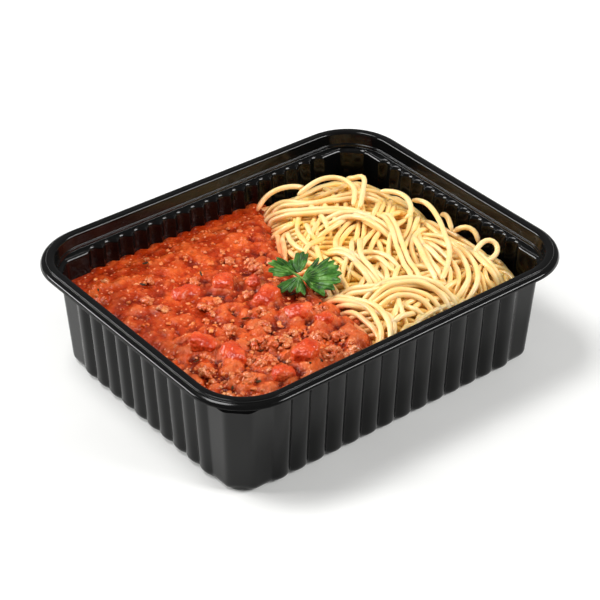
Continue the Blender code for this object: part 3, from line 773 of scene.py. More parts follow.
def closed_below(top, faces, loop, rims):
    """A sheet closed by rims below its edge and by a flat bottom; a rim has a point for each of the edge"""
    faces, ring, first = list(faces), list(loop), len(top)
    for rim in rims:
        lower = list(range(first, first + len(rim)))
        for index in range(len(rim)):
            after = (index + 1) % len(rim)
            faces.append((ring[after], ring[index], lower[index], lower[after]))
        ring, first = lower, first + len(rim)
    faces.append(tuple(ring[::-1]))
    return np.concatenate([top, *rims]), faces


def sauce_mesh():
    """The sauce as a closed body that fills its side of the tray"""
    xs, ys, x, y, z, marks = sauce_points()
    limit_x, limit_y = inside_wall(x, y, SAUCE_LEVEL, 0.0)
    right = meeting_x(y) + SAUCE_UNDER_PASTA
    outside = (np.abs(limit_x - x) + np.abs(limit_y - y) > 0.01) | (x > right)
    columns = len(xs)
    faces = []
    for row in range(len(ys) - 1):
        for column in range(columns - 1):
            first = row * columns + column
            face = (first, first + 1, first + columns + 1, first + columns)
            if not all(outside[index] for index in face):
                faces.append(face)
    used = sorted({index for face in faces for index in face})
    renumber = {old: new for new, old in enumerate(used)}
    faces = [tuple(renumber[index] for index in face) for face in faces]
    x, y, z = (values[used] for values in (x, y, z))
    x = np.minimum(x, meeting_x(y) + SAUCE_UNDER_PASTA)
    x, y = inside_wall(x, y, SAUCE_LEVEL, -SAUCE_WALL_GAP)
    loop = boundary_loop(faces)
    rims = []
    for low in (SAUCE_BEND_Z, FOOD_FOOT_Z, FOOD_FLOOR_Z):
        inset = SAUCE_WALL_GAP if low > FOOT_Z else SAUCE_FLOOR_INSET
        rim_x, rim_y = inside_wall(x[loop], y[loop], max(low, FOOT_Z), inset)
        rims.append(np.column_stack([rim_x, rim_y, np.full(len(loop), low)]))
    points, faces = closed_below(np.column_stack([x, y, z]), faces, loop, rims)
    hidden = np.zeros(len(points) - len(used))
    return points, faces, {name: np.concatenate([mark[used], hidden]) for name, mark in marks.items()}


# Tomato, mince and small bits

# How square a dice is: 2 would be a ball, and more is squarer
DICE_POWER = 3.4


def tomato_part(index, piece):
    """One soft-cornered dice of tomato with a slightly wrinkled surface"""
    x, y, size_x, size_y, size_z, turn, lift = piece
    rng = random.Random(index)
    skew = [rng.uniform(-0.16, 0.16) for _ in range(6)]
    points, faces = ball(5)
    shape = []
    for point in points:
        norm = sum(abs(part) ** DICE_POWER for part in point) ** (1 / DICE_POWER)
        px, py, pz = point / norm
        px, py = px * (1.0 + skew[0] * pz + skew[1] * py), py * (1.0 + skew[2] * px + skew[3] * pz)
        pz *= 1.0 + skew[4] * px + skew[5] * py
        spot = Vector((px * size_x / 2, py * size_y / 2, pz * size_z / 2))
        dent = 0.55 * noise.noise(spot * 0.3 + Vector((index, 0, 0))) + 0.4 * noise.noise(spot * 0.8)
        dent += 0.22 * noise.noise(spot * 2.0)
        shape.append(spot + Vector(point) * dent)
    tilt = Matrix.Rotation(math.radians(turn), 4, "Z") @ Matrix.Rotation(0.2 * math.cos(2.0 * index), 4, "Y")
    tilt = tilt @ Matrix.Rotation(0.15 * math.sin(index), 4, "X")
    place = Vector((x, y, float(sauce_height(x, y)[0]) + lift - 0.5))
    return [tuple(tilt @ spot + place) for spot in shape], faces, np.zeros(len(shape))


# Clumps that stand out of the sauce: X, Y and size
MINCE_CLUMPS = (
    (-52.5, -33.0, 6.5), (-49.0, -40.0, 7.5), (-72.0, -29.5, 6.0), (-60.0, 18.5, 4.8), (-45.0, 8.5, 5.0),
    (-61.5, 28.0, 5.0), (-20.0, -39.0, 7.0), (-38.0, -34.0, 7.5), (-28.5, -29.5, 6.0), (-23.0, -50.0, 7.5),
    (-44.0, -27.0, 6.5), (-35.0, -19.0, 6.0), (-29.0, -10.0, 5.5), (-47.0, -12.0, 5.5), (-14.0, -44.0, 6.5),
    (-17.5, -57.0, 7.0), (-40.0, -57.5, 6.5), (-63.0, -44.0, 6.5), (-26.5, 3.5, 5.0), (-36.0, 27.0, 4.5),
    (-11.0, 16.5, 5.5), (-8.0, 24.0, 5.0), (-17.0, 31.0, 4.5), (-52.0, 40.0, 4.2), (-8.5, -22.0, 5.5),
)


# A grain up to this size lies alone, and a small bit is sunk by this share of its size
LARGEST_LONE_GRAIN = 3.0
BIT_SUNK = 0.2


def mince_parts(index, clump, unit, faces):
    """A crumbly clump of mince, uneven grains heaped in a low dome, or one grain where it is small"""
    x, y, size = clump
    rng = random.Random(100 + index)
    base = float(sauce_height(x, y)[0])
    heaped = size > LARGEST_LONE_GRAIN
    parts = []
    for number in range(int(0.5 * size * size) if heaped else 1):
        radius = rng.uniform(0.6, 1.25) + 0.7 * rng.random() ** 3 if heaped else size / 2
        away = (size / 2) * math.sqrt(rng.random()) if heaped else 0.0
        turn = rng.uniform(0.0, 2 * math.pi)
        dome = size * 0.42 * (1.0 - (2 * away / size) ** 2) * rng.uniform(0.5, 1.0) if heaped else 0.0
        middle = np.array([x + away * math.cos(turn), y + away * math.sin(turn), base + dome - 0.1])
        stretch = np.array([rng.uniform(0.75, 1.3), rng.uniform(0.75, 1.3), rng.uniform(0.7, 1.0)]) * radius
        shift = Vector((index * 3.1, number * 1.7, 0.0))
        coarse = np.array([noise.noise(Vector(spot) * 1.2 + shift) for spot in unit])
        fine = np.array([noise.noise(Vector(spot) * 3.5 + shift) for spot in unit])
        points = unit * (1.0 + 0.5 * coarse + 0.25 * fine)[:, None] * stretch + middle
        sauced = min(1.0, max(0.0, rng.gauss(0.58, 0.25)))
        parts.append((points, faces, np.full(len(unit), sauced)))
    return parts


def scattered_spots(rng, count, low_share):
    """Places over the sauce, more of them where it is chunky"""
    spots = []
    while len(spots) < count:
        x, y = rng.uniform(-83.0, 10.0), rng.uniform(-64.0, 64.0)
        if wall_distance(x, y, PANEL_FOOT) < 3.0 or x > meeting_x(y) - 1.0:
            continue
        if rng.random() < low_share + (1.0 - low_share) * float(coarseness(x, y)):
            spots.append((x, y))
    return spots


def bits_part(rng, spot, size, unit, faces):
    """One small uneven bit lying in the sauce"""
    x, y = spot
    stretch = np.array([rng.uniform(0.7, 1.5), rng.uniform(0.7, 1.2), rng.uniform(0.5, 0.9)])
    turn = rng.uniform(0.0, math.pi)
    uneven = 1.0 + np.array([rng.uniform(-0.22, 0.22) for _ in unit])[:, None]
    shape = unit * uneven * stretch * size / 2
    cos, sin = math.cos(turn), math.sin(turn)
    px = x + shape[:, 0] * cos - shape[:, 1] * sin
    py = y + shape[:, 0] * sin + shape[:, 1] * cos
    pz = float(sauce_height(x, y)[0]) + shape[:, 2] - BIT_SUNK * size
    return np.column_stack([px, py, pz]), faces, np.zeros(len(unit))


def flake_part(rng, spot):
    """One herb flake: a thin bent leaf shred"""
    x, y = spot
    length, width = rng.uniform(1.6, 3.4), rng.uniform(0.7, 1.4)
    turn = rng.uniform(0.0, 2 * math.pi)
    base = float(sauce_height(x, y)[0]) + 0.9
    points = []
    for over in (0.25, 0.0):
        for step in range(5):
            share = step / 4 - 0.5
            half = width / 2 * (1.0 - (2 * share) ** 2 * 0.7) * rng.uniform(0.7, 1.1)
            for side in (-1.0, 1.0):
                px, py = share * length, side * half
                lift = over + 0.5 * share * share * rng.uniform(0.6, 1.4) + 0.15 * side
                points.append((x + px * math.cos(turn) - py * math.sin(turn),
                               y + px * math.sin(turn) + py * math.cos(turn), base + lift))
    faces = []
    for step in range(4):
        top, low = 2 * step, 10 + 2 * step
        faces += [(top, top + 2, top + 3), (top, top + 3, top + 1)]
        faces += [(low, low + 1, low + 3), (low, low + 3, low + 2)]
        faces += [(top, low, low + 2), (top, low + 2, top + 2)]
        faces += [(top + 1, top + 3, low + 3), (top + 1, low + 3, low + 1)]
    for top, low in ((0, 10), (8, 18)):
        faces += [(top, top + 1, low + 1), (top, low + 1, low)]
    return points, faces, np.zeros(len(points))


# Spaghetti

GRID_STEP = 0.5
PASTA_SINK = 10.0
PASTA_PROUD = 1.2
STRAND_STEP = 1.8
STEEPEST_BOW = 8.0
PRESSED_RADIUS = 1.12
OVER_GOAL = -1.6
SHOWN_PROUD = 1.3
SHOWN_SPREAD = 2.2
SHORTEST_STRAND = 34.0
UNDER_LAYER_CENTRES = ((150.0, -110.0), (-60.0, -110.0))
STRANDS_IN_SAUCE = 7.0
EDGE_CLEARANCE = NOODLE_WIDTH / 2 + 0.3
# How many places and paths are tried for a bundle of strands, and how many failures in a row end the laying
PLACES_TRIED = 40
PATHS_TRIED = 10
MOST_MISSES = 250
# How deep the ends of a strand bend down, and over what length, and how much thinner its last ring is
END_DIP = 3.2
END_RUN = 11.0
TIP_SHARE = 0.55
# The lower strands are a share of all and have fewer sides
LOWER_SHARE = 0.45
LOWER_SIDES = 7
UPPER_SIDES = 10
# Where below the heap's top strands begin to take the painted shade of deep strands, and over how much
SHADE_DEPTH_START = 1.8
SHADE_DEPTH_SPAN = 4.5
HEAP_CORNER_BACK = 34.0
HEAP_CORNER_FRONT = 22.0


class HeapMap:
    """Height of what is already laid in the tray, on a fine grid"""

    def __init__(self):
        self.xs = np.arange(-34.0, 92.0, GRID_STEP)
        self.ys = np.arange(-74.0, 74.1, GRID_STEP)
        x, y = np.meshgrid(self.xs, self.ys, indexing="ij")
        self.goal = heap_height(x, y) + PASTA_PROUD
        self.top = self.goal - PASTA_SINK
        reach = math.ceil(PRESSED_RADIUS / GRID_STEP)
        shifts = [(i, j) for i in range(-reach, reach + 1) for j in range(-reach, reach + 1)]
        self.shifts = np.array([s for s in shifts if math.hypot(*s) * GRID_STEP < PRESSED_RADIUS])
        away = np.hypot(*(self.shifts.T * GRID_STEP))
        self.dome = np.sqrt(PRESSED_RADIUS ** 2 - away ** 2)

    def cells(self, path):
        """Grid cells that a strand covers at each point of its path"""
        i = np.round((path[:, 0] - self.xs[0]) / GRID_STEP).astype(int)
        j = np.round((path[:, 1] - self.ys[0]) / GRID_STEP).astype(int)
        i = i[:, None] + self.shifts[None, :, 0]
        j = j[:, None] + self.shifts[None, :, 1]
        return np.clip(i, 0, len(self.xs) - 1), np.clip(j, 0, len(self.ys) - 1)

    def resting_heights(self, path):
        """Lowest middle line that clears what lies below, bowed as stiffly as pasta"""
        i, j = self.cells(path)
        need = (self.top[i, j] + self.dome[None, :]).max(axis=1)
        steps = np.arange(len(path)) * STRAND_STEP
        drop = (steps[:, None] - steps[None, :]) ** 2 / (2 * STEEPEST_BOW)
        return (need[None, :] - drop).max(axis=1)

    def lay(self, path, z):
        """Raise the heap to the top of a strand laid at these heights"""
        i, j = self.cells(path)
        np.maximum.at(self.top, (i, j), z[:, None] + self.dome[None, :])

    def low_place(self, rng):
        """The place with the most room among some random ones"""
        places = [(rng.uniform(-25.0, 82.0), rng.uniform(-64.0, 64.0)) for _ in range(PLACES_TRIED)]
        i, j = self.cells(np.array(places))
        gap = self.goal[i, j].mean(axis=1) - self.top[i, j].mean(axis=1)
        gap -= [0.0 if edge_room(*place) > 2.5 else 100.0 for place in places]
        return places[int(np.argmax(gap))]

    def room(self, path):
        """How far a path lies below the heap's goal, on average"""
        i, j = self.cells(path)
        return (self.goal[i, j].mean(axis=1) - self.top[i, j].max(axis=1)).mean()

    def part_that_fits(self, path, over):
        """The longest part of a path that stays inside the walls and under the goal, or None"""
        for _ in range(3):
            if len(path) * STRAND_STEP < SHORTEST_STRAND:
                return None
            inside = np.array([edge_room(x, y) > EDGE_CLEARANCE for x, y in path])
            i, j = self.cells(path)
            crest = self.resting_heights(path) + NOODLE_WIDTH / 2
            good = inside & (crest < self.goal[i, j].mean(axis=1) + over)
            if good.all():
                return path
            first, last = longest_run(good)
            path = path[first:last]
        return None


def strand_walk(start, heading, bend, wave, count):
    """A wandering path that turns back where it nears the edge of the pasta's side"""
    x, y = start
    points = []
    for step in range(count):
        points.append((x, y))
        turn = bend * (1.0 + 0.8 * math.sin(wave + 0.11 * step)) * STRAND_STEP
        ahead_x, ahead_y = x + 6.0 * math.cos(heading), y + 6.0 * math.sin(heading)
        if edge_room(ahead_x, ahead_y) < 4.0:
            left = edge_room(x + 3.0 * math.cos(heading + 0.9), y + 3.0 * math.sin(heading + 0.9))
            right = edge_room(x + 3.0 * math.cos(heading - 0.9), y + 3.0 * math.sin(heading - 0.9))
            turn = (1.0 if left > right else -1.0) * STRAND_STEP / 8.0
        heading += turn
        x += STRAND_STEP * math.cos(heading)
        y += STRAND_STEP * math.sin(heading)
    return points


def edge_room(x, y):
    """Distance to the heap's outline: the walls with round corners, and a line just inside the sauce"""
    half = panel_half(SAUCE_LEVEL)
    radius = HEAP_CORNER_BACK if y > 0 else HEAP_CORNER_FRONT
    x_room, y_room = half - x, half - LONGER_BY - abs(y)
    room = min(x_room, y_room)
    if x_room < radius and y_room < radius:
        room = radius - math.hypot(radius - x_room, radius - y_room)
    line = x - MEETING_TABLE[min(max(int(y + 80.0), 0), 160)] + STRANDS_IN_SAUCE
    return min(room, line * 0.9)


MEETING_TABLE = [float(value) for value in meeting_x(np.arange(-80.0, 81.0))]


def strand_path(rng, start, length):
    """A wandering path through a place, of about a length"""
    heading = rng.uniform(0.0, 2 * math.pi)
    bend = rng.choice((-1.0, 1.0)) / rng.uniform(16.0, 60.0)
    wave = rng.uniform(0.0, 2 * math.pi)
    count = int(length / STRAND_STEP / 2)
    ahead = strand_walk(start, heading, bend, wave, count)
    behind = strand_walk(start, heading + math.pi, -bend, wave + math.pi, count)
    return np.array(behind[:0:-1] + ahead)


def directions(path):
    """Unit directions along a path, one at each of its points"""
    ahead = np.gradient(path, axis=0)
    return ahead / np.linalg.norm(ahead, axis=1)[:, None]


def beside(path, offset, sway, rng):
    """A path that runs along another one at a slowly changing distance"""
    ahead = directions(path)
    across = np.column_stack([-ahead[:, 1], ahead[:, 0]])
    steps = np.arange(len(path)) * STRAND_STEP
    drift = offset + sway * np.sin(steps / rng.uniform(14.0, 30.0) + rng.uniform(0.0, 6.3))
    return path + across * drift[:, None]


def longest_run(good):
    """First and last step of the longest unbroken run of true values"""
    best, first = (0, 0), None
    for index, value in enumerate([*good, False]):
        if value and first is None:
            first = index
        if not value and first is not None:
            best = max(best, (first, index), key=lambda run: run[1] - run[0])
            first = None
    return best


def softened(path, times=3):
    """A path with its inner points drawn toward their neighbours"""
    for _ in range(times):
        path = np.concatenate([path[:1], (path[:-2] + 2 * path[1:-1] + path[2:]) / 4, path[-1:]])
    return path


# Strands that stand out in the heap, as the places each passes: X and Y, and Z too where it loops freely
SHOWN_STRANDS = (
    ((8, 38), (14, 39), (18, 36), (23, 35), (30, 35)),
    ((5, 33), (6, 29), (4, 22), (0, 15)),
    ((19, 42), (15, 35), (9, 26), (5, 17), (3, 12)),
    ((20, 35), (15, 32), (10, 24), (5, 17), (3, 12)),
    ((30, 35), (25, 27), (22, 21), (23, 15)),
    ((32, 32), (28, 25), (24, 18)),
    ((68, -45), (66, -53), (65, -57)),
    ((74, -48), (70, -55), (68, -58)),
    ((57, -43), (57, -51), (54, -56)),
    ((62, -41), (60, -49), (57, -56)),
    ((19, -42), (15, -46), (9, -50)),
    ((19, -43), (20, -50), (23, -54), (26, -58)),
    ((3, -49), (9, -52), (17, -51), (22, -51)),
    ((24, -52), (18, -55)),
    ((5, -28), (9, -28), (12, -31)),
    ((37, -58), (41, -55), (46, -55), (48, -57), (45, -58)),
    ((5, -58), (11, -55), (16, -55), (20, -57)),
    ((-7, -20), (0, -24), (4, -31), (7, -39), (9, -46)),
    ((-6, -24), (-1, -29), (2, -34), (2, -42), (1, -49), (-2, -56)),
    ((-7, -17), (-1, -19), (3, -25), (6, -33), (6, -40), (2, -51), (-2, -56), (-5, -57)),
    ((14, 50), (22, 52), (27, 46), (32, 37), (37, 31), (44, 27), (48, 21), (49, 13), (50, 4), (54, -1)),
    ((18, 53), (27, 57), (33, 54), (37, 46), (46, 42), (55, 38), (63, 33), (67, 26), (69, 20)),
    ((30, 23), (37, 21), (42, 19), (46, 13), (47, 3), (49, -6)),
    ((12, -13), (18, -8), (26, -5), (33, -7), (36, -12), (35, -22), (36, -28)),
    ((19, 10), (19, 4), (21, -4), (21, -15), (20, -25), (21, -31)),
    ((40, 8), (32, -1), (25, -11), (23, -19), (22, -26), (21, -30)),
    ((58, -11), (62, -17), (63, -27), (60, -38), (54, -48), (47, -52), (39, -53)),
    ((68, -24), (70, -31), (65, -45), (65, -53), (64, -58)),
    ((58, -7), (53, -14), (49, -23), (43, -35), (40, -46)),
    ((57, -12), (57, -21), (56, -30), (54, -40), (49, -47), (44, -50)),
    ((8, -35), (14, -36), (20, -38), (27, -42), (30, -47), (32, -53), (31, -57)),
    ((2, -21), (6, -20), (11, -24), (15, -28), (19, -32), (25, -35), (31, -39), (36, -44), (40, -50),
     (43, -55)),
    ((9, -34), (15, -34), (22, -36), (30, -41), (33, -47), (36, -52), (36, -56), (35, -58)),
    ((27, 17), (21, 16), (15, 14), (9, 11), (4, 8)),
    ((60, 17), (57, 8), (52, -3), (46, -14), (40, -26), (36, -36), (34, -40)),
    ((20, 57, 38), (25, 59, 41), (30, 58, 44), (36, 56, 45), (42, 54, 44), (45, 53, 42)),
    ((39, 51, 42), (44, 50, 45), (51, 49, 47), (57, 46, 47), (59, 41, 47), (59, 35, 46), (55, 30, 45),
     (51, 26, 44)),
    ((64, 46, 44), (64, 41, 46), (67, 40, 47.4), (67, 37, 47.4), (63, 33, 46.5), (56, 26, 45.5),
     (52, 23, 44)),
    ((68, 27, 44.5), (72, 21, 45.5), (72, 13, 46), (69, 7, 45), (65, 3, 44), (63, 4, 43)),
    ((76, 14, 43), (78, 9, 44), (76, 1, 45), (71, -10, 45.5), (65, -20, 46), (58, -31, 46), (48, -40, 45.5),
     (42, -44, 44.5)),
    ((81, 0, 40), (80, -4, 43), (78, -9, 42), (77, -12, 39)),
    ((75, -15, 41), (76, -17, 43.5), (80, -19, 44), (81, -24, 42), (80, -26, 38.5)),
    ((68, -35, 41), (72, -34, 44), (77, -34, 46), (79, -37, 45.5), (79, -40, 43), (74, -42, 41.5),
     (68, -42, 42), (67, -39, 42)),
)


def through(places):
    """An even path through given points, by a smooth curve"""
    spots = np.array(places, float)
    padded = np.concatenate([[2 * spots[0] - spots[1]], spots, [2 * spots[-1] - spots[-2]]])
    curve = []
    for index in range(len(spots) - 1):
        a, b, c, d = padded[index:index + 4]
        for t in np.linspace(0.0, 1.0, 20, endpoint=False):
            curve.append(0.5 * (2 * b + (c - a) * t + (2 * a - 5 * b + 4 * c - d) * t * t
                                + (3 * b - a - 3 * c + d) * t ** 3))
    curve = np.array(curve + [spots[-1]])
    length = np.linalg.norm(np.diff(curve, axis=0), axis=1).sum()
    return even_points(curve, max(6, int(length / STRAND_STEP)))


def under_layer(centre, spacing, rng):
    """Side by side strands on circles round a far centre, cut where they leave the pasta's side"""
    paths = []
    for radius in np.arange(spacing, 260.0, spacing):
        turns = np.arange(0.0, 2 * math.pi, STRAND_STEP / radius)
        circle = np.column_stack([centre[0] + radius * np.cos(turns), centre[1] + radius * np.sin(turns)])
        inside = [edge_room(x, y) > EDGE_CLEARANCE for x, y in circle]
        first, last = longest_run(inside)
        if (last - first) * STRAND_STEP > SHORTEST_STRAND:
            paths.append(softened(beside(circle[first:last], 0.0, 0.5, rng)))
    return paths


def lay_strands(count, length):
    """Lay two layers under the heap, then bundles wherever it is lowest, then the strands that stand out"""
    heap = HeapMap()
    rng = random.Random(5)
    strands = []
    for centre in UNDER_LAYER_CENTRES:
        strands += [rest_on(heap, path) for path in under_layer(centre, NOODLE_WIDTH * 1.5, rng)]
    base = len(strands)
    misses = 0
    while len(strands) < base + count and misses < MOST_MISSES:
        start = heap.low_place(rng)
        paths = [strand_path(rng, start, length * rng.uniform(0.7, 1.3)) for _ in range(PATHS_TRIED)]
        best = max(paths, key=heap.room)
        width = rng.choice((1, 1, 2, 2, 3))
        misses += 1
        for number in range(width):
            offset = (number - (width - 1) / 2) * NOODLE_WIDTH * 1.02
            path = softened(beside(best, offset, 0.9, rng), 4)
            path = heap.part_that_fits(path, OVER_GOAL)
            if path is not None:
                strands.append(rest_on(heap, path))
                misses = 0
    rested = [softened(through(places)) for places in SHOWN_STRANDS if len(places[0]) == 2]
    for index, path in enumerate(rested):
        proud = SHOWN_PROUD - SHOWN_SPREAD * (1.0 - index / len(rested))
        if len(path) * STRAND_STEP > SHORTEST_STRAND:
            partner = beside(path, rng.choice((-1.3, 1.3)) * NOODLE_WIDTH, 0.8, rng)
            strands.append(rest_on(heap, partner, proud - 0.6))
        strands.append(rest_on(heap, path, proud))
    strands += [softened(through(places)) for places in SHOWN_STRANDS if len(places[0]) == 3]
    return strands, heap


def rest_on(heap, path, proud=OVER_GOAL):
    """Rest one strand on the heap, pressed in where it would stand too proud, its ends bent down"""
    i, j = heap.cells(path)
    z = np.minimum(heap.resting_heights(path), heap.goal[i, j].mean(axis=1) + proud - NOODLE_WIDTH / 2)
    ends = np.minimum(np.arange(len(path)), np.arange(len(path))[::-1]) * STRAND_STEP
    z = softened(z, 6) - END_DIP * (1.0 - smooth_step(ends / END_RUN))
    heap.lay(path, z)
    return np.column_stack([path, z])


def circles_along(path, sides):
    """For each point of a path the directions to a circle's points round it, and the direction ahead"""
    ahead = directions(path)
    across = np.cross(ahead, (0.0, 0.0, 1.0))
    across /= np.linalg.norm(across, axis=1)[:, None]
    over = np.cross(across, ahead)
    angles = 2 * math.pi * np.arange(sides) / sides
    cos, sin = np.cos(angles)[None, :, None], np.sin(angles)[None, :, None]
    return across[:, None, :] * cos + over[:, None, :] * sin, ahead


def tube_part(path, sides, heap):
    """A round strand with soft ends, and how deep below the heap's top each point lies"""
    circles, ahead = circles_along(path, sides)
    radius = np.full(len(path), NOODLE_WIDTH / 2)
    radius[[0, -1]] *= TIP_SHARE
    points = (path[:, None, :] + circles * radius[:, None, None]).reshape(-1, 3)
    tips = np.array([path[0] - ahead[0] * 0.5, path[-1] + ahead[-1] * 0.5])
    points = np.concatenate([points, tips])
    rows = np.arange(len(path) * sides).reshape(len(path), sides)
    turned = np.roll(rows, -1, axis=1)
    quads = np.stack([rows[:-1], rows[1:], turned[1:], turned[:-1]], axis=-1).reshape(-1, 4)
    first, last = len(points) - 2, len(points) - 1
    caps = [(first, rows[0][i], turned[0][i], turned[0][i]) for i in range(sides)]
    caps += [(last, turned[-1][i], rows[-1][i], rows[-1][i]) for i in range(sides)]
    i = np.clip(np.round((points[:, 0] - heap.xs[0]) / GRID_STEP).astype(int), 0, len(heap.xs) - 1)
    j = np.clip(np.round((points[:, 1] - heap.ys[0]) / GRID_STEP).astype(int), 0, len(heap.ys) - 1)
    depth = heap.goal[i, j] - points[:, 2]
    return points, np.concatenate([quads, np.array(caps)]), depth


def stain_of(points):
    """How much sauce has run onto the pasta near the meeting line"""
    x, y, z = points.T
    away = x - meeting_x(y)
    low = smooth_step((41.5 - z) / 5.0)
    streak = np.array([noise.noise(Vector((px, py, pz)) * 0.22) for px, py, pz in points])
    return np.clip(smooth_step((14.0 + 9.0 * streak - away) / 13.0) * (0.5 + 0.5 * low), 0.0, 0.85)


def clean_faces(faces):
    """Quads as lists, with the doubled corner of each end triangle dropped"""
    return [face[:3] if face[2] == face[3] else face for face in faces.tolist()]


CORE_ROWS = 60
CORE_COLUMNS = 36
# How far the core stays in from the wall and the meeting line, and how much it narrows at the floor
CORE_INSET = 1.2
CORE_GAP = 0.5
CORE_FLOOR_SHARE = 0.955


def core_mesh():
    """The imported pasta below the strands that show"""
    half = PANEL_FOOT - CORE_INSET
    depth = half - LONGER_BY
    y = np.linspace(-depth, depth, CORE_ROWS)
    radius = np.where(y > 0, HEAP_CORNER_BACK, HEAP_CORNER_FRONT)
    into = np.maximum(np.abs(y) - (depth - radius), 0.0)
    right = half - radius + np.sqrt(radius ** 2 - into ** 2)
    left = meeting_x(y) + CORE_GAP
    x = left[:, None] + (right - left)[:, None] * np.linspace(0.0, 1.0, CORE_COLUMNS)[None, :]
    y = np.repeat(y[:, None], CORE_COLUMNS, axis=1)
    z = heap_height(x, y) + PASTA_PROUD - PASTA_SINK + 0.6
    index = np.arange(CORE_ROWS * CORE_COLUMNS).reshape(CORE_ROWS, CORE_COLUMNS)
    corners = (index[:-1, :-1], index[:-1, 1:], index[1:, 1:], index[1:, :-1])
    faces = np.stack(corners, axis=-1).reshape(-1, 4).tolist()
    loop = [*index[0, :], *index[1:, -1], *index[-1, -2::-1], *index[-2:0:-1, 0]]
    top = np.column_stack([x.ravel(), y.ravel(), z.ravel()])
    rims = []
    for low, share in ((FOOD_FOOT_Z, 1.0), (FOOD_FLOOR_Z, CORE_FLOOR_SHARE)):
        rims.append(np.column_stack([top[loop, :2] * share, np.full(len(loop), low)]))
    return closed_below(top, faces, loop, rims)


# Parsley

SPRIG_PLACE = (-5.5, -6.5)
SPRIG_FACING = math.radians(-38.5)
SPRIG_TILT = math.radians(24.0)
SPRIG_LEAVES = (
    # Foot in the sprig's plane, droop in degrees, then tips and notches as (angle, reach)
    ((0.9, -0.5), -4.0,
     ((-50, 3.5), (-38, 12.2), (-28, 10.6), (-20, 14.8), (-13, 13.2), (-6, 16.6), (2, 14.6), (9, 17.2),
      (15, 15.2), (22, 17.0), (28, 14.8), (35, 16.8), (39.5, 13.8), (44, 16.8), (49, 9.4), (57, 13.4),
      (66, 6.0), (74, 1.5))),
    ((-0.9, 2.5), 8.0,
     ((30, 1.5), (46, 4.6), (57, 7.4), (64, 9.9), (70, 8.8), (76, 9.9), (84, 8.2), (92, 8.9), (104, 6.6),
      (118, 4.4), (135, 1.5))),
    ((-1.7, 2.5), 14.0,
     ((118, 1.5), (130, 5.5), (144, 10.4), (151, 9.0), (158, 11.2), (162, 10.6), (167, 12.4), (174, 8.6),
      (180, 11.6), (185, 11.8), (190, 10.0), (196, 10.2), (204, 5.0), (214, 1.5))),
    ((0.0, 0.6), -30.0,
     ((176, 2.0), (188, 8.6), (192, 8.8), (199, 11.2), (207, 9.2), (217, 10.6), (226, 7.6), (238, 8.0),
      (249, 4.6), (260, 7.6), (271, 6.4), (284, 7.9), (296, 5.4), (312, 3.0))),
    ((-1.9, 4.2), -20.0,
     ((90, 1.0), (100, 4.2), (116, 5.2), (134, 4.8), (150, 1.5))),
)
# Start and end in the sprig's own plane, and radius
STALKS = (
    ((-7.5, 5.2, 2.6), (-0.4, 0.8, 1.4), 0.6),
    ((-0.8, 1.0, 1.4), (5.5, -3.2, 1.2), 0.5),
)
STALK_POINTS = 10
STALK_SIDES = 8
LEAF_RAYS = 150
LEAF_RINGS = 12
LEAF_THICKNESS = 0.35
TOOTH_BULGE = 1.6
VEIN_DEGREES = 2.6
# Heights in millimetres of a leaf's slow waves, of the folds between its veins and of its cupped tips
LEAF_WAVE = 1.1
LEAF_FOLD = 0.4
LEAF_CUP = 1.1


def sprig_point(right, up, over):
    """A place in the sprig's own plane, turned into millimetres in the tray"""
    ahead = np.array([math.cos(SPRIG_FACING), math.sin(SPRIG_FACING), 0.0])
    away = np.array([-ahead[1], ahead[0], 0.0])
    rise = away * math.cos(SPRIG_TILT) + np.array([0, 0, math.sin(SPRIG_TILT)])
    normal = np.array([0, 0, math.cos(SPRIG_TILT)]) - away * math.sin(SPRIG_TILT)
    return np.array([*SPRIG_PLACE, 0.0]) + ahead * right + rise * up + normal * over


def leaf_edge(angle, edge):
    """How far a leaf reaches in a direction, and how close that is to a tip's vein"""
    angles, reaches = [spot[0] for spot in edge], [spot[1] for spot in edge]
    after = min(max(int(np.searchsorted(angles, angle)), 1), len(edge) - 1)
    share = (angle - angles[after - 1]) / (angles[after] - angles[after - 1])
    first, last = reaches[after - 1], reaches[after]
    eased = share ** TOOTH_BULGE if last < first else 1.0 - (1.0 - share) ** TOOTH_BULGE
    tips = [angles[k] for k in range(1, len(edge) - 1) if reaches[k] > max(reaches[k - 1], reaches[k + 1])]
    vein = max(0.0, 1.0 - min(abs(angle - tip) for tip in tips) / VEIN_DEGREES)
    return first + (last - first) * eased, vein


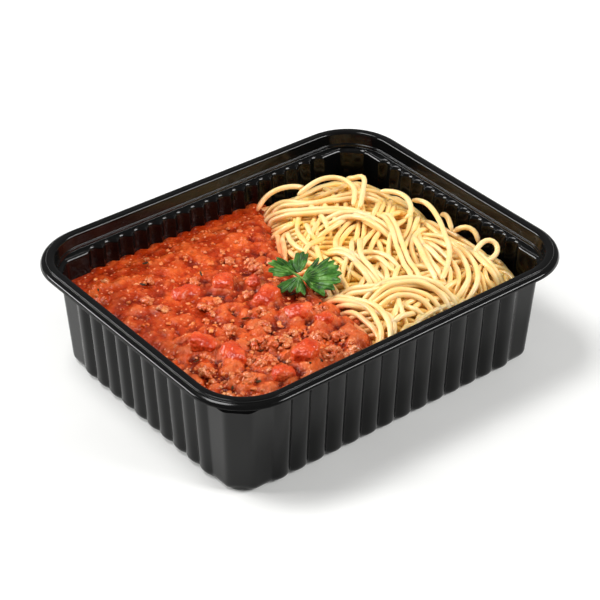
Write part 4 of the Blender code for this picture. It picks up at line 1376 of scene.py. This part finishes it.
def leaf_part(leaf, number):
    """A thin toothed leaf, creased along its veins, drooping and curled at its tips"""
    foot, droop, edge = leaf
    angles = np.linspace(edge[0][0], edge[-1][0], LEAF_RAYS)
    edges = [leaf_edge(angle, edge) for angle in angles]
    middle = (edge[0][0] + edge[-1][0]) / 2
    points, veins = [], []
    for layer in (LEAF_THICKNESS, 0.0):
        for angle, (reach, vein) in zip(angles, edges):
            turn = math.radians(angle)
            for ring in range(LEAF_RINGS + 1):
                share = ring / LEAF_RINGS
                away = reach * share
                right, up = foot[0] + away * math.cos(turn), foot[1] + away * math.sin(turn)
                wave = LEAF_WAVE * noise.noise(Vector((right * 0.2, up * 0.2, number * 4.0)))
                fold = LEAF_FOLD * (1.0 - vein) * min(1.0, away / 3.0)
                cup = LEAF_CUP * share * share * math.cos(math.radians(angle - middle) * 2.5)
                tilt = away * math.sin(math.radians(droop)) * 0.7
                points.append(sprig_point(right, up, layer + wave + fold + cup + tilt + 1.2))
                veins.append(vein * (1.0 - 0.5 * share) * min(1.0, 7.0 / max(away, 1.0)))
    rows = LEAF_RINGS + 1
    half = LEAF_RAYS * rows
    faces = []
    for ray in range(LEAF_RAYS - 1):
        for ring in range(LEAF_RINGS):
            a, b = ray * rows + ring, (ray + 1) * rows + ring
            faces += [(a, a + 1, b + 1), (a, b + 1, b)]
            faces += [(half + a, half + b + 1, half + a + 1), (half + a, half + b, half + b + 1)]
        tip, after = ray * rows + LEAF_RINGS, (ray + 1) * rows + LEAF_RINGS
        faces += [(tip, half + tip, half + after), (tip, half + after, after)]
        foot_a, foot_b = ray * rows, (ray + 1) * rows
        faces += [(foot_a, half + foot_b, half + foot_a), (foot_a, foot_b, half + foot_b)]
    for ray, flip in ((0, 1), (LEAF_RAYS - 1, -1)):
        for ring in range(LEAF_RINGS):
            a = ray * rows + ring
            quad = (a, half + a, half + a + 1, a + 1)[::flip]
            faces += [(quad[0], quad[1], quad[2]), (quad[0], quad[2], quad[3])]
    return np.array(points), faces, veins


def stalk_part(start, end, radius):
    """A short round stalk between two places in the sprig's plane"""
    shares = np.linspace(0, 1, STALK_POINTS)[:, None]
    path = np.array([sprig_point(*spot) for spot in np.array(start) * (1 - shares) + np.array(end) * shares])
    sides = STALK_SIDES
    points = (path[:, None, :] + circles_along(path, sides)[0] * radius).reshape(-1, 3)
    faces = []
    for step in range(len(path) - 1):
        for side in range(sides):
            a, b = step * sides + side, step * sides + (side + 1) % sides
            faces += [(a, a + sides, b + sides), (a, b + sides, b)]
    for first in (0, (len(path) - 1) * sides):
        faces += [(first, first + side, first + side + 1) for side in range(1, sides - 1)]
    return np.array(points), faces, np.full(len(points), 0.7)


# Settings that a user would change

def colour_setting(name, description, hex_colour):
    """A colour property whose default is an sRGB hex colour turned to linear"""
    return FloatVectorProperty(name=name, description=description, default=linear(hex_colour)[:3],
                               min=0.0, max=1.0, size=3, subtype="COLOR")


class TraySettings(bpy.types.PropertyGroup):
    sheet: FloatProperty(name="Sheet", description="Thickness of the plastic", default=SHEET * MM,
                         unit="LENGTH", subtype="DISTANCE")
    dark: colour_setting("Dark plastic", "Darkest tone of the black plastic", "#050505")
    light: colour_setting("Light plastic", "Lightest tone of the black plastic", "#090909")


class SauceSettings(bpy.types.PropertyGroup):
    onion_bits: IntProperty(name="Onion bits", description="Pale bits scattered in the sauce",
                            default=600, min=0)
    herb_flakes: IntProperty(name="Herb flakes", description="Dark flakes scattered in the sauce",
                             default=18, min=0)
    small_mince: IntProperty(name="Loose mince", description="Small grains of mince", default=180, min=0)
    dark: colour_setting("Reduced sauce", "Colour of the darkest patches", "#761602")
    mid: colour_setting("Sauce", "Colour of most of the sauce", "#b0340c")
    light: colour_setting("Light sauce", "Colour of the lightest patches", "#dc6028")


class PastaSettings(bpy.types.PropertyGroup):
    strands: IntProperty(name="Strands", description="How many strands are laid in the heap",
                         default=170, min=1)
    length: FloatProperty(name="Strand length", description="Typical length of a strand", default=0.15,
                          unit="LENGTH", subtype="DISTANCE")
    # The deep pasta colour is painted shade for strands deep in the heap
    dark: colour_setting("Deep pasta", "Colour of the strands deep in the heap", "#fcc546")
    mid: colour_setting("Pasta", "Colour of the strands' darker parts", "#f9ce84")
    light: colour_setting("Light pasta", "Colour of the strands' lighter parts", "#fad8a4")


class ParsleySettings(bpy.types.PropertyGroup):
    dark: colour_setting("Dark leaf", "Darkest green of the leaves", "#133808")
    mid: colour_setting("Leaf", "Green of most of the leaves", "#34681c")
    light: colour_setting("Light leaf", "Lightest green of the leaves", "#6a9c48")


class StageSettings(bpy.types.PropertyGroup):
    azimuth: FloatProperty(name="Azimuth", description="Direction of the camera round the meal",
                           default=math.radians(-38.512), subtype="ANGLE")
    elevation: FloatProperty(name="Elevation", description="Height of the camera above the horizon",
                             default=math.radians(34.57), subtype="ANGLE")
    distance: FloatProperty(name="Distance", description="From the camera to the tray", default=0.8765,
                            unit="LENGTH", subtype="DISTANCE")
    lens: FloatProperty(name="Lens", description="Focal length in millimetres on a 36 mm sensor",
                        default=118.98)


# Operators

class MEAL_OT_tray(bpy.types.Operator):
    """Build the ribbed tray in place of its solid"""
    bl_idname = "meal.tray"
    bl_label = "Tray"

    def execute(self, context):
        settings = context.scene.meal_tray
        points, faces = tray_mesh(settings.sheet / MM)
        material = polypropylene_material(settings.dark, settings.light)
        piece = make_piece("ribbed_tray", points, faces, material)
        face_outward(piece)
        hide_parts("tray")
        return {"FINISHED"}


class MEAL_OT_sauce(bpy.types.Operator):
    """Build the sauce in place of its solid"""
    bl_idname = "meal.sauce"
    bl_label = "Sauce"

    def execute(self, context):
        settings = context.scene.meal_sauce
        points, faces, marks = sauce_mesh()
        material = sauce_material(settings.dark, settings.mid, settings.light)
        piece = make_piece("sauce", points, faces, material, marks)
        face_outward(piece)
        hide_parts("bolognese_sauce")
        return {"FINISHED"}


class MEAL_OT_tomato(bpy.types.Operator):
    """Build the tomato pieces in place of their solids"""
    bl_idname = "meal.tomato"
    bl_label = "Tomato pieces"

    def execute(self, context):
        material = tomato_material()
        for index, spec in enumerate(TOMATO_PIECES, start=1):
            points, faces, _ = tomato_part(index, spec)
            piece = make_piece(f"tomato_dice_{index:02d}", points, faces, material)
            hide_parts(f"tomato_piece_{index:02d}")
        return {"FINISHED"}


class MEAL_OT_bits(bpy.types.Operator):
    """Add the mince, onion and herbs that lie in the sauce"""
    bl_idname = "meal.bits"
    bl_label = "Mince, onion and herbs"

    def execute(self, context):
        settings = context.scene.meal_sauce
        unit, faces = ball(3)
        rng = random.Random(31)
        parts = []
        for index, clump in enumerate(MINCE_CLUMPS):
            parts += mince_parts(index, clump, unit, faces)
        unit, faces = ball(2)
        for index, (x, y) in enumerate(scattered_spots(rng, settings.small_mince, 0.12)):
            parts += mince_parts(200 + index, (x, y, rng.uniform(1.4, 2.9)), unit, faces)
        points, faces, cover = join_parts(parts)
        mince = make_piece("mince_clumps", points, faces, mince_material(), {"sauced": cover})
        unit, faces = ball(2)
        spots = scattered_spots(rng, settings.onion_bits, 0.25)
        parts = [bits_part(rng, spot, 0.6 + 2.4 * rng.random() ** 2.5, unit, faces) for spot in spots]
        points, faces, _ = join_parts(parts)
        onion = make_piece("onion_bits", points, faces, onion_material())
        spots = scattered_spots(rng, settings.herb_flakes, 0.6)
        points, faces, _ = join_parts([flake_part(rng, spot) for spot in spots])
        herbs = make_piece("herb_flakes", points, faces, herb_material(), smooth=False)
        return {"FINISHED"}


class MEAL_OT_pasta(bpy.types.Operator):
    """Lay the spaghetti in place of its solid"""
    bl_idname = "meal.pasta"
    bl_label = "Spaghetti"

    def execute(self, context):
        settings = context.scene.meal_pasta
        strands, heap = lay_strands(settings.strands, settings.length / MM)
        split = int(len(strands) * LOWER_SHARE)
        material = pasta_material(settings.dark, settings.mid, settings.light)
        groups = (
            ("spaghetti_lower", strands[:split], LOWER_SIDES),
            ("spaghetti_upper", strands[split:], UPPER_SIDES),
        )
        for name, group, sides in groups:
            parts = [tube_part(strand, sides, heap) for strand in group]
            points, faces, depth = join_parts(parts)
            # Painted shade: the deeper a point lies below the heap's top, the more of the darker golden
            # colour it gets
            depth = np.clip((depth - SHADE_DEPTH_START) / SHADE_DEPTH_SPAN, 0.0, 1.0)
            marks = {"stain": stain_of(points), "depth": depth}
            piece = make_piece(name, points, clean_faces(faces), material, marks)
            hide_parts("spaghetti")
        points, faces = core_mesh()
        # The core below the strands gets the full painted shade
        marks = {"stain": stain_of(points), "depth": np.ones(len(points))}
        core = make_piece("spaghetti_core", points, faces, material, marks)
        face_outward(core)
        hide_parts("spaghetti")
        return {"FINISHED"}


class MEAL_OT_parsley(bpy.types.Operator):
    """Lay the parsley sprig in place of its solid"""
    bl_idname = "meal.parsley"
    bl_label = "Parsley"

    def execute(self, context):
        settings = context.scene.meal_parsley
        parts = [leaf_part(leaf, number) for number, leaf in enumerate(SPRIG_LEAVES)]
        parts += [stalk_part(*stalk) for stalk in STALKS]
        points, faces, veins = join_parts(parts)
        points[:, 2] += SPRIG_FOOT_Z - points[:, 2].min()
        material = parsley_material(settings.dark, settings.mid, settings.light)
        piece = make_piece("parsley", points, faces, material, {"vein": veins})
        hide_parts("parsley_sprig")
        return {"FINISHED"}


# Name, place, width and height in metres, and power in watts
SOFTBOXES = (
    ("key_softbox", (-0.4, 0.3, 1.35), 0.5, 0.5, 12.5),
    ("left_softbox", (-0.95, 0.92, 0.6), 0.8, 0.25, 18.0),
    ("right_softbox", (0.78, -0.97, 0.8), 0.8, 0.25, 18.0),
)
SOFTBOX_AIM = (0.0, 0.0, 0.03)
WORLD_STRENGTH = 0.24
FLOOR_REACH = 3.0


class MEAL_OT_stage(bpy.types.Operator):
    """Set up the floor, the soft lights and the camera"""
    bl_idname = "meal.stage"
    bl_label = "Stage"

    def execute(self, context):
        settings = context.scene.meal_stage
        mesh = bpy.data.meshes.new("studio_floor")
        corners = [(x * FLOOR_REACH, y * FLOOR_REACH, 0.0) for x, y in ((-1, -1), (1, -1), (1, 1), (-1, 1))]
        mesh.from_pydata(corners, [], [(0, 1, 2, 3)])
        mesh.materials.append(floor_material())
        floor = bpy.data.objects.new("studio_floor", mesh)
        bpy.context.collection.objects.link(floor)
        for softbox in SOFTBOXES:
            add_light(*softbox)
        world = bpy.data.worlds.new("white_studio")
        world.use_nodes = True
        background = world.node_tree.nodes["Background"]
        background.inputs["Color"].default_value = (1.0, 1.0, 1.0, 1.0)
        background.inputs["Strength"].default_value = WORLD_STRENGTH
        context.scene.world = world
        context.scene.view_settings.view_transform = "Standard"
        add_camera(context.scene, settings)
        return {"FINISHED"}


def add_light(name, place, width, height, power):
    """A softbox that faces the tray"""
    data = bpy.data.lights.new(name, "AREA")
    data.shape = "RECTANGLE"
    data.size = width
    data.size_y = height
    data.energy = power
    lamp = bpy.data.objects.new(name, data)
    lamp.location = place
    aim = Vector(SOFTBOX_AIM) - lamp.location
    lamp.rotation_euler = aim.to_track_quat("-Z", "Y").to_euler()
    bpy.context.collection.objects.link(lamp)


CAMERA_ROLL = math.radians(0.128)
CAMERA_SHIFT = (-0.000196, 0.023026)


def add_camera(scene, settings):
    """The camera, turned and moved as the photograph's was"""
    azimuth, elevation = settings.azimuth, settings.elevation
    back = Vector((math.sin(azimuth) * math.cos(elevation), -math.cos(azimuth) * math.cos(elevation),
                   math.sin(elevation)))
    right = Vector((math.cos(azimuth), math.sin(azimuth), 0.0))
    up = back.cross(right)
    rolled_right = right * math.cos(CAMERA_ROLL) + up * math.sin(CAMERA_ROLL)
    rolled_up = up * math.cos(CAMERA_ROLL) - right * math.sin(CAMERA_ROLL)
    data = bpy.data.cameras.new("camera")
    data.lens = settings.lens
    data.sensor_width = 36.0
    data.clip_start = 0.01
    data.clip_end = 20.0
    camera = bpy.data.objects.new("camera", data)
    turn = Matrix((rolled_right, rolled_up, back)).transposed().to_4x4()
    place = rolled_right * CAMERA_SHIFT[0] + rolled_up * CAMERA_SHIFT[1] + back * settings.distance
    camera.matrix_world = Matrix.Translation(place) @ turn
    bpy.context.collection.objects.link(camera)
    scene.camera = camera


class MEAL_PT_panel(bpy.types.Panel):
    """Lists the pieces of the meal"""
    bl_idname = "MEAL_PT_panel"
    bl_label = "Tray meal"
    bl_space_type = "VIEW_3D"
    bl_region_type = "UI"
    bl_category = "Tray meal"

    def draw(self, context):
        for operator in OPERATORS:
            self.layout.operator(operator.bl_idname)
        for group in SETTINGS:
            for name in SETTINGS[group].__annotations__:
                self.layout.prop(getattr(context.scene, group), name)


OPERATORS = (
    MEAL_OT_stage, MEAL_OT_tray, MEAL_OT_sauce, MEAL_OT_tomato, MEAL_OT_bits, MEAL_OT_pasta, MEAL_OT_parsley,
)
SETTINGS = {
    "meal_tray": TraySettings,
    "meal_sauce": SauceSettings,
    "meal_pasta": PastaSettings,
    "meal_parsley": ParsleySettings,
    "meal_stage": StageSettings,
}


def register():
    for cls in (*SETTINGS.values(), *OPERATORS, MEAL_PT_panel):
        bpy.utils.register_class(cls)
    for name, group in SETTINGS.items():
        setattr(bpy.types.Scene, name, PointerProperty(type=group))


def unregister():
    for name in SETTINGS:
        delattr(bpy.types.Scene, name)
    for cls in (MEAL_PT_panel, *OPERATORS[::-1], *SETTINGS.values()):
        bpy.utils.unregister_class(cls)


def main():
    register()
    bpy.ops.meal.stage()
    bpy.ops.meal.tray()
    bpy.ops.meal.sauce()
    bpy.ops.meal.tomato()
    bpy.ops.meal.bits()
    bpy.ops.meal.pasta()
    bpy.ops.meal.parsley()


if __name__ == "__main__":
    main()
